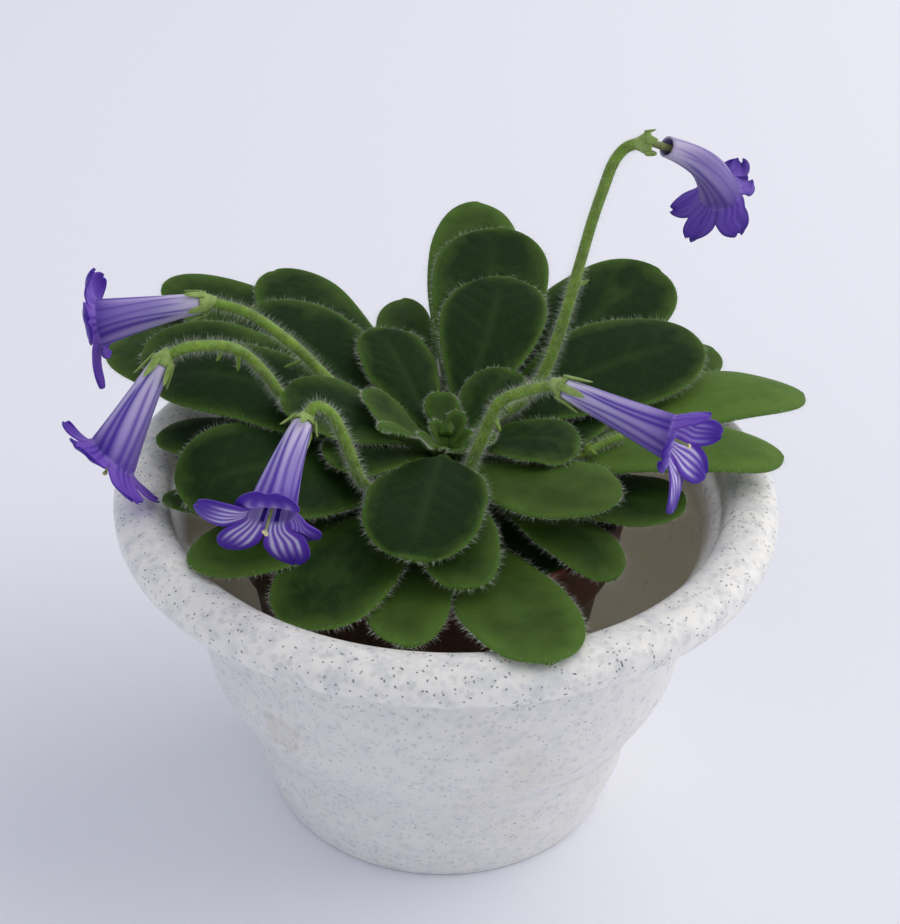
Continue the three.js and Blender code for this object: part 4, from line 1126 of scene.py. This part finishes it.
soilTop = nurseryLook["soilTop"]
soilProfile = ([(0, 5), (33, 5), (43.3, 68.2), (45.8, 69.7), (46.5, soilTop - 0.4)]
               + [(r, soilTop) for r in np.linspace(46, 1.5, 30)] + [(0, soilTop)])
soil = lathe("pottingSoil", soilProfile, nurseryLook["facets"], [pottingSoilMaterial()], nurseryLook["x"],
             nurseryLook["y"], lumpy)
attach(soil, "root")
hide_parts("soil")

print("crown")
crownProfile = rounded([(0, 76.6), (5.5, 76.6), (4.7, 80), (4, 88), (2.6, 92.5), (1.2, 94.6), (0, 95)], 2)
crownStem = lathe("crownStem", crownProfile, 32, [stalkGreen], 0, 4)
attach(crownStem, "root")
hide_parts("crown")
youngRows = [          # the leaves still opening in the middle: angle, reach, tip height, width, root height
    (70, 8.0, 101.5, 4.8, 94), (200, 7.5, 100.5, 4.4, 94), (-60, 7, 98.5, 4.4, 94), (20, 6.5, 99, 4.0, 94),
    (130, 6, 100.5, 3.6, 94.5), (-120, 5.5, 98.5, 3.4, 94.5),
]
for count, plan in enumerate(youngRows, 1):
    young = leafObject(39 + count, plan + ({"arch": 0.6, "root": 1.2, "tone": 0.05, "cup": 0.12},))
    young.name = f"youngLeaf_{count}"
    growHair(young, f"youngLeafHair_{count}", feltHair, "feltHair", leafLook["youngHairs"],
             200 + count)
    growHair(young, f"youngMarginHair_{count}", marginHair, "marginHair", leafLook["innerHairs"],
             220 + count)
    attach(young, "root")


print("floor, light and camera")
floorMaterial, floorTree, floorShader = newMaterial("paleFloor")
finish(floorTree, floorShader, {"Base Color": linear("eff0f8"), "Roughness": 0.9})
floorHalf = 3000.0
corners = [(x * floorHalf, y * floorHalf, 0) for x, y in ((-1, -1), (1, -1), (1, 1), (-1, 1))]
floor = meshObject("floor", corners, [(0, 1, 2, 3)], [floorMaterial])


def areaLight(name, place, aim, width, power, hexCode):
    data = bpy.data.lights.new(name, "AREA")
    data.shape = "SQUARE"
    data.size = width
    data.energy = power
    data.color = linear(hexCode)[:3]
    lamp = bpy.data.objects.new(name, data)
    lamp.location = place
    lamp.rotation_euler = (Vector(aim) - Vector(place)).to_track_quat("-Z", "Y").to_euler()
    bpy.context.collection.objects.link(lamp)


areaLight("windowLight", (1.5, 0.5, 1.35), (0, 0, 0.08), 2.5, 29, "fffaf2")
areaLight("roomFill", (-0.7, -0.9, 1.0), (0, 0, 0.08), 1.0, 0.9, "f4f6ff")
world = bpy.data.worlds.new("softSky")
world.use_nodes = True
world.node_tree.nodes["Background"].inputs[0].default_value = linear("eceef8")
world.node_tree.nodes["Background"].inputs[1].default_value = 0.67
bpy.context.scene.world = world

view = {"elevation": 32.58, "distance": 458, "focal": 1900, "roll": 1.41, "aim": (0.7, 0, 94.1)}
tilt = math.radians(view["elevation"])
back = Vector((0, -math.cos(tilt), math.sin(tilt)))
camera = bpy.data.objects.new("camera", bpy.data.cameras.new("camera"))
camera.data.sensor_width = 36
camera.data.lens = view["focal"] * 36 / 924          # focal length in picture heights
camera.data.clip_start = 0.01
camera.location = (Vector(view["aim"]) + back * view["distance"]) * mm
right = Vector((1, 0, 0))
upward = back.cross(right)
roll = math.radians(view["roll"])
seenRight = right * math.cos(roll) + upward * math.sin(roll)
seenUp = upward * math.cos(roll) - right * math.sin(roll)
camera.rotation_mode = "QUATERNION"
camera.rotation_quaternion = Matrix((seenRight, seenUp, back)).transposed().to_quaternion()
bpy.context.collection.objects.link(camera)
bpy.context.scene.camera = camera
bpy.context.scene.view_settings.view_transform = "Standard"
